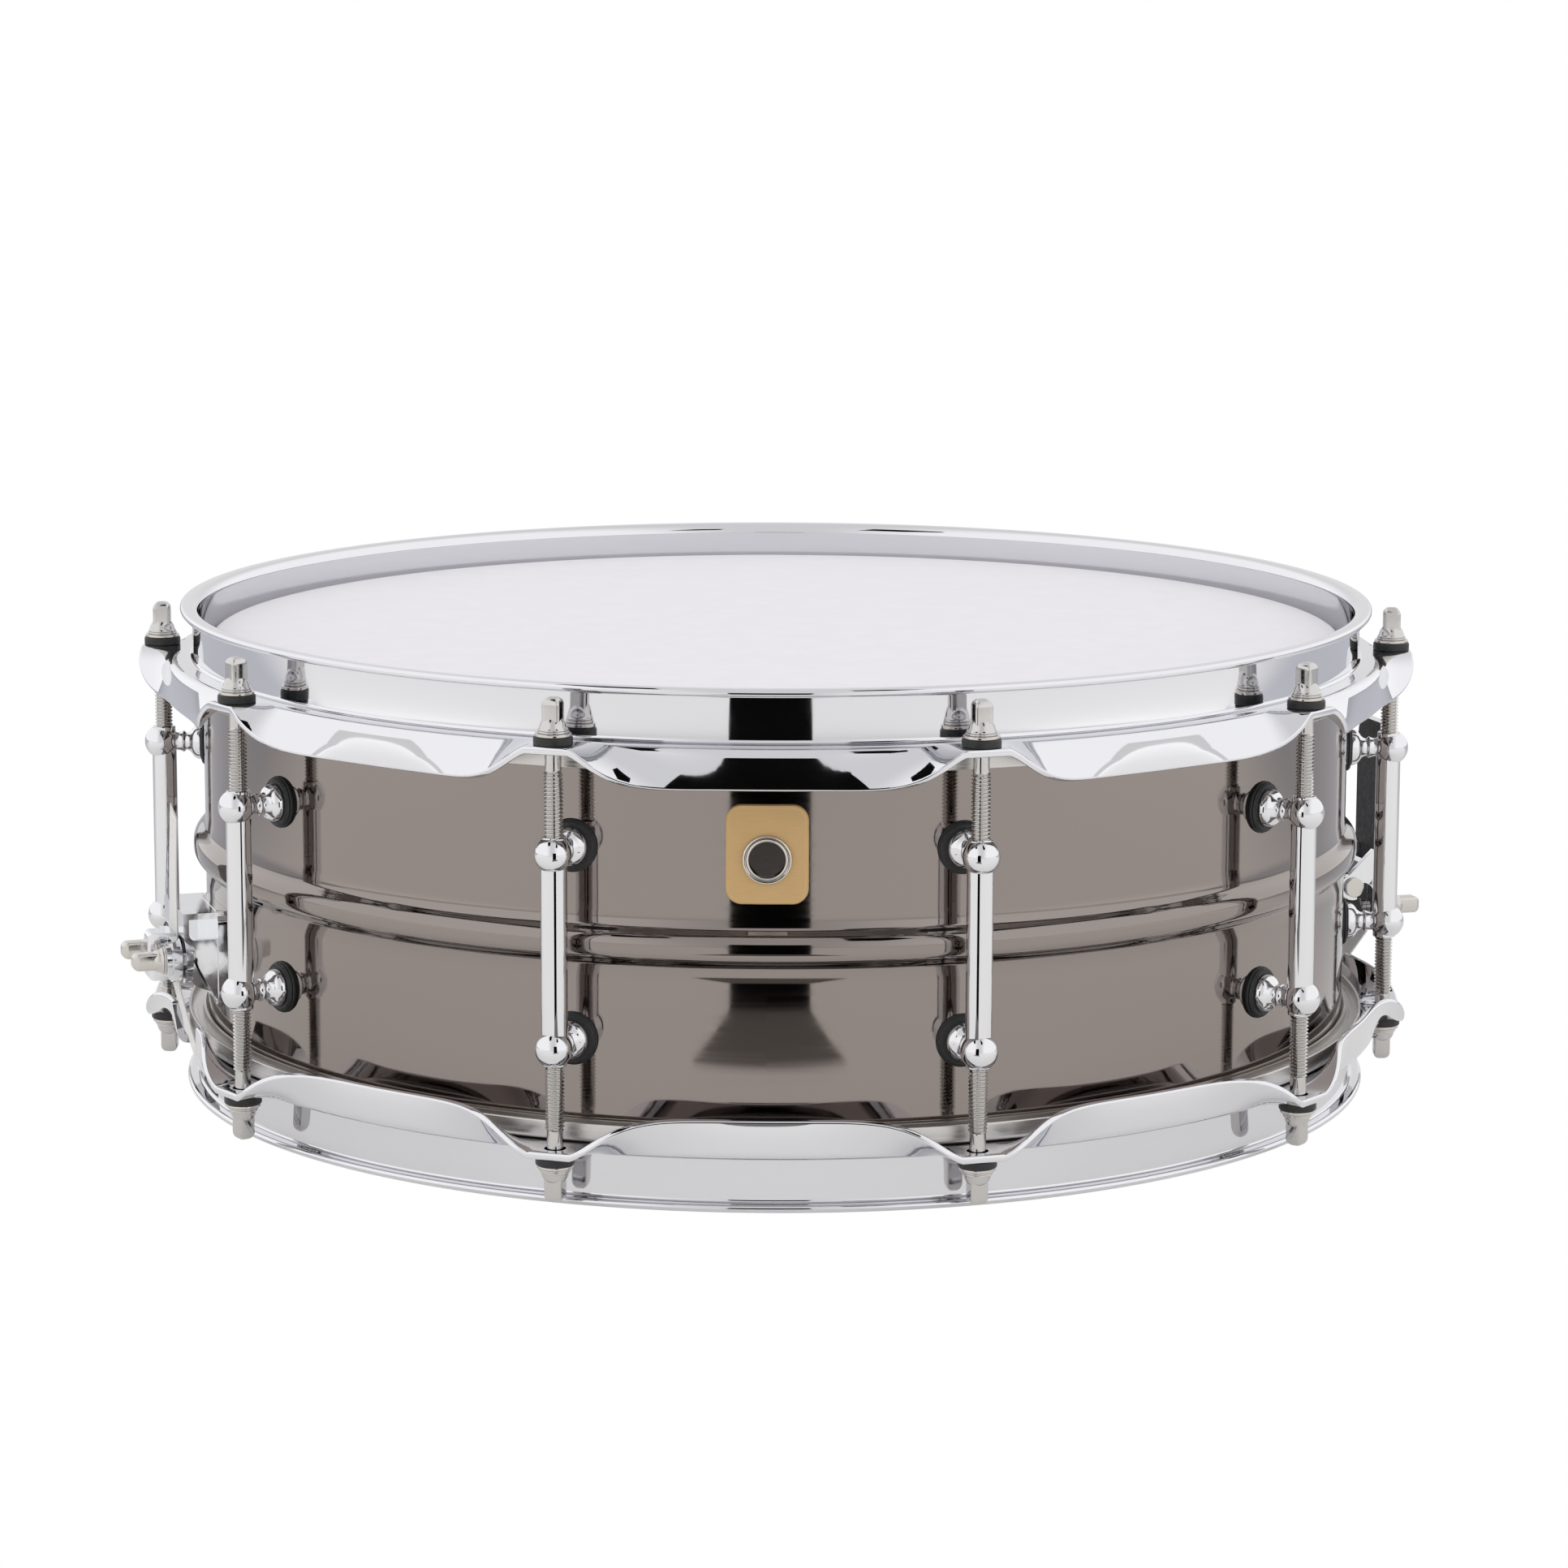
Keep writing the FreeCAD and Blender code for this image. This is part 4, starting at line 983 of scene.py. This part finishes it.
def knob_shape():
    """Knurled knob with chamfered rims, a collar under the bearing and the screw below."""
    low, high, radius, ridges, depth = 66.3, 73.1, 4.9, 40, 0.28
    rows = [(low, 0.0), (low + 0.7, 0.7), (low + 0.9, 1.0),
            (high - 0.9, 1.0), (high - 0.7, 0.7), (high, 0.0)]
    rings = []
    for z, ridge in rows:
        reach = radius - (0.75 if ridge == 0.0 else 0.0)
        ring = []
        for k in range(ridges * 4):
            a = 2 * math.pi * k / (ridges * 4)
            cut = depth * (0.0, 0.5, 1.0, 0.5)[k % 4] * (1.0 if ridge == 1.0 else 0.0)
            ring.append(((reach - cut) * math.cos(a), (reach - cut) * math.sin(a), z))
        rings.append(ring)
    shank = lathe([(0, 40.4), (1.7, 40.4), (2.0, 40.9), (2.0, 61.9), (3.2, 62.0), (3.2, 62.9),
                   (2.0, 63.0), (2.0, 66.5), (0, 66.5)], 48)
    return moved(together([sweep(rings, False, True), shank]), Matrix.Translation((ADJUST_R, 0, 0)))


fit(piece("knurled_knob", placed(knob_shape(), STRAINER_AT), cast_chrome, 25.0),
    "adjusting_knob", "fittings", "strainer_adjusting_knob")


# Straps ---------------------------------------------------------------------------------------
# Thin woven polyester tape from each snare plate, out through the hoop's gate and up into the
# clamp. The one on the butt is left long and its cut end stands up.

STRAP_W, STRAP_T, STRAP_Z = 12.0, 0.4, 7.15


def eased(points, times=3):
    """Rounds a run of points by cutting its corners, ends kept."""
    for _ in range(times):
        cut = [points[0]]
        for a, b in zip(points, points[1:]):
            cut += [tuple(0.75 * p + 0.25 * q for p, q in zip(a, b)),
                    tuple(0.25 * p + 0.75 * q for p, q in zip(a, b))]
        points = cut + [points[-1]]
    return points


def strap_shape(run, slant=0.0, taper=0.0):
    """Tape along a run of (r, z); the far end may be cut slanting and a little narrower."""
    line = eased(run)
    length = sum(math.dist(a, b) for a, b in zip(line, line[1:]))
    rings, done = [], 0.0
    for i, (r, z) in enumerate(line):
        before, after = line[max(i - 1, 0)], line[min(i + 1, len(line) - 1)]
        done += math.dist(before, (r, z)) if i else 0.0
        along = Vector((after[0] - before[0], after[1] - before[1])).normalized()
        share = max(done / length - 0.7, 0.0) / 0.3
        half = STRAP_W / 2 - taper * share
        ring = []
        for side in (1, -1):
            for k in range(9):
                u = side * half * (1 - k / 4)
                dropped = slant * share * (1 + u / half) / 2
                ring.append((r - side * along[1] * STRAP_T / 2, u,
                             z + side * along[0] * STRAP_T / 2 - dropped))
        rings.append(ring)
    return sweep(rings, False, True)


polyester = plated("woven_polyester", "e4e3e1", 0.5, 0.0)
shader_of(polyester).inputs["Alpha"].default_value = 0.75
weave = grain(polyester, 0.5, (1.0, 1.0, 4.0))
tinted(polyester, weave, "dedddb", "ecebe9")
varied(polyester, "Roughness", weave, 0.42, 0.62)
embossed(polyester, weave, 0.02, 0.5)

leaves = [(149.5, STRAP_Z - 0.15), (176.0, STRAP_Z - 0.15), (180.4, STRAP_Z + 0.6),
          (182.2, STRAP_Z + 3.4)]
CLAMP_GAP = 0.78
butt_r, lever_r = BUTT_FACE + CLAMP_GAP, STRAINER_FACE + CLAMP_GAP
butt_run = leaves + [(188.2, 33.4), (butt_r, 39.4), (butt_r, 53.0), (butt_r, 72.0),
                     (butt_r - 0.6, 91.6)]
lever_run = leaves + [(198.6, 31.4), (lever_r, 34.0), (lever_r, 47.0), (lever_r - 0.2, 52.0)]


def at(angle, r, z):
    """A point in the radial plane of a fitting, in metres."""
    return tuple(c * MM for c in placed(([(r, 0, z)], []), angle)[0][0])


for name, shape, angle, node, bodies, clamp in (
        ("butt_tape", strap_shape(butt_run, 3.2, 1.0), BUTT_AT, "butt_strap", ("root", "snares"),
         (butt_r, 39.4)),
        ("lever_tape", strap_shape(lever_run), STRAINER_AT, "strainer_strap",
         ("strainer_lever", "strainer_slide"), (lever_r, 34.0))):
    tape = piece(name, placed(shape, angle), polyester)
    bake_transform(tape)
    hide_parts(node)


# Screws inside the shell ----------------------------------------------------------------------
# Hexagon screws and washers hold the lugs and the two mechanisms. Zinc plate, greyish and dull.

zinc = plated("zinc_plate", "a9a8a5", 0.34)
tinted(zinc, grain(zinc, 1.5), "9b9a97", "b8b7b2")
varied(zinc, "Roughness", grain(zinc, 0.8), 0.26, 0.48)
for node in ("lug_screws", "lug_screw_washers", "mounting_screws"):
    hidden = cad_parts[node]
    hidden.data.materials.clear()
    hidden.data.materials.append(zinc)
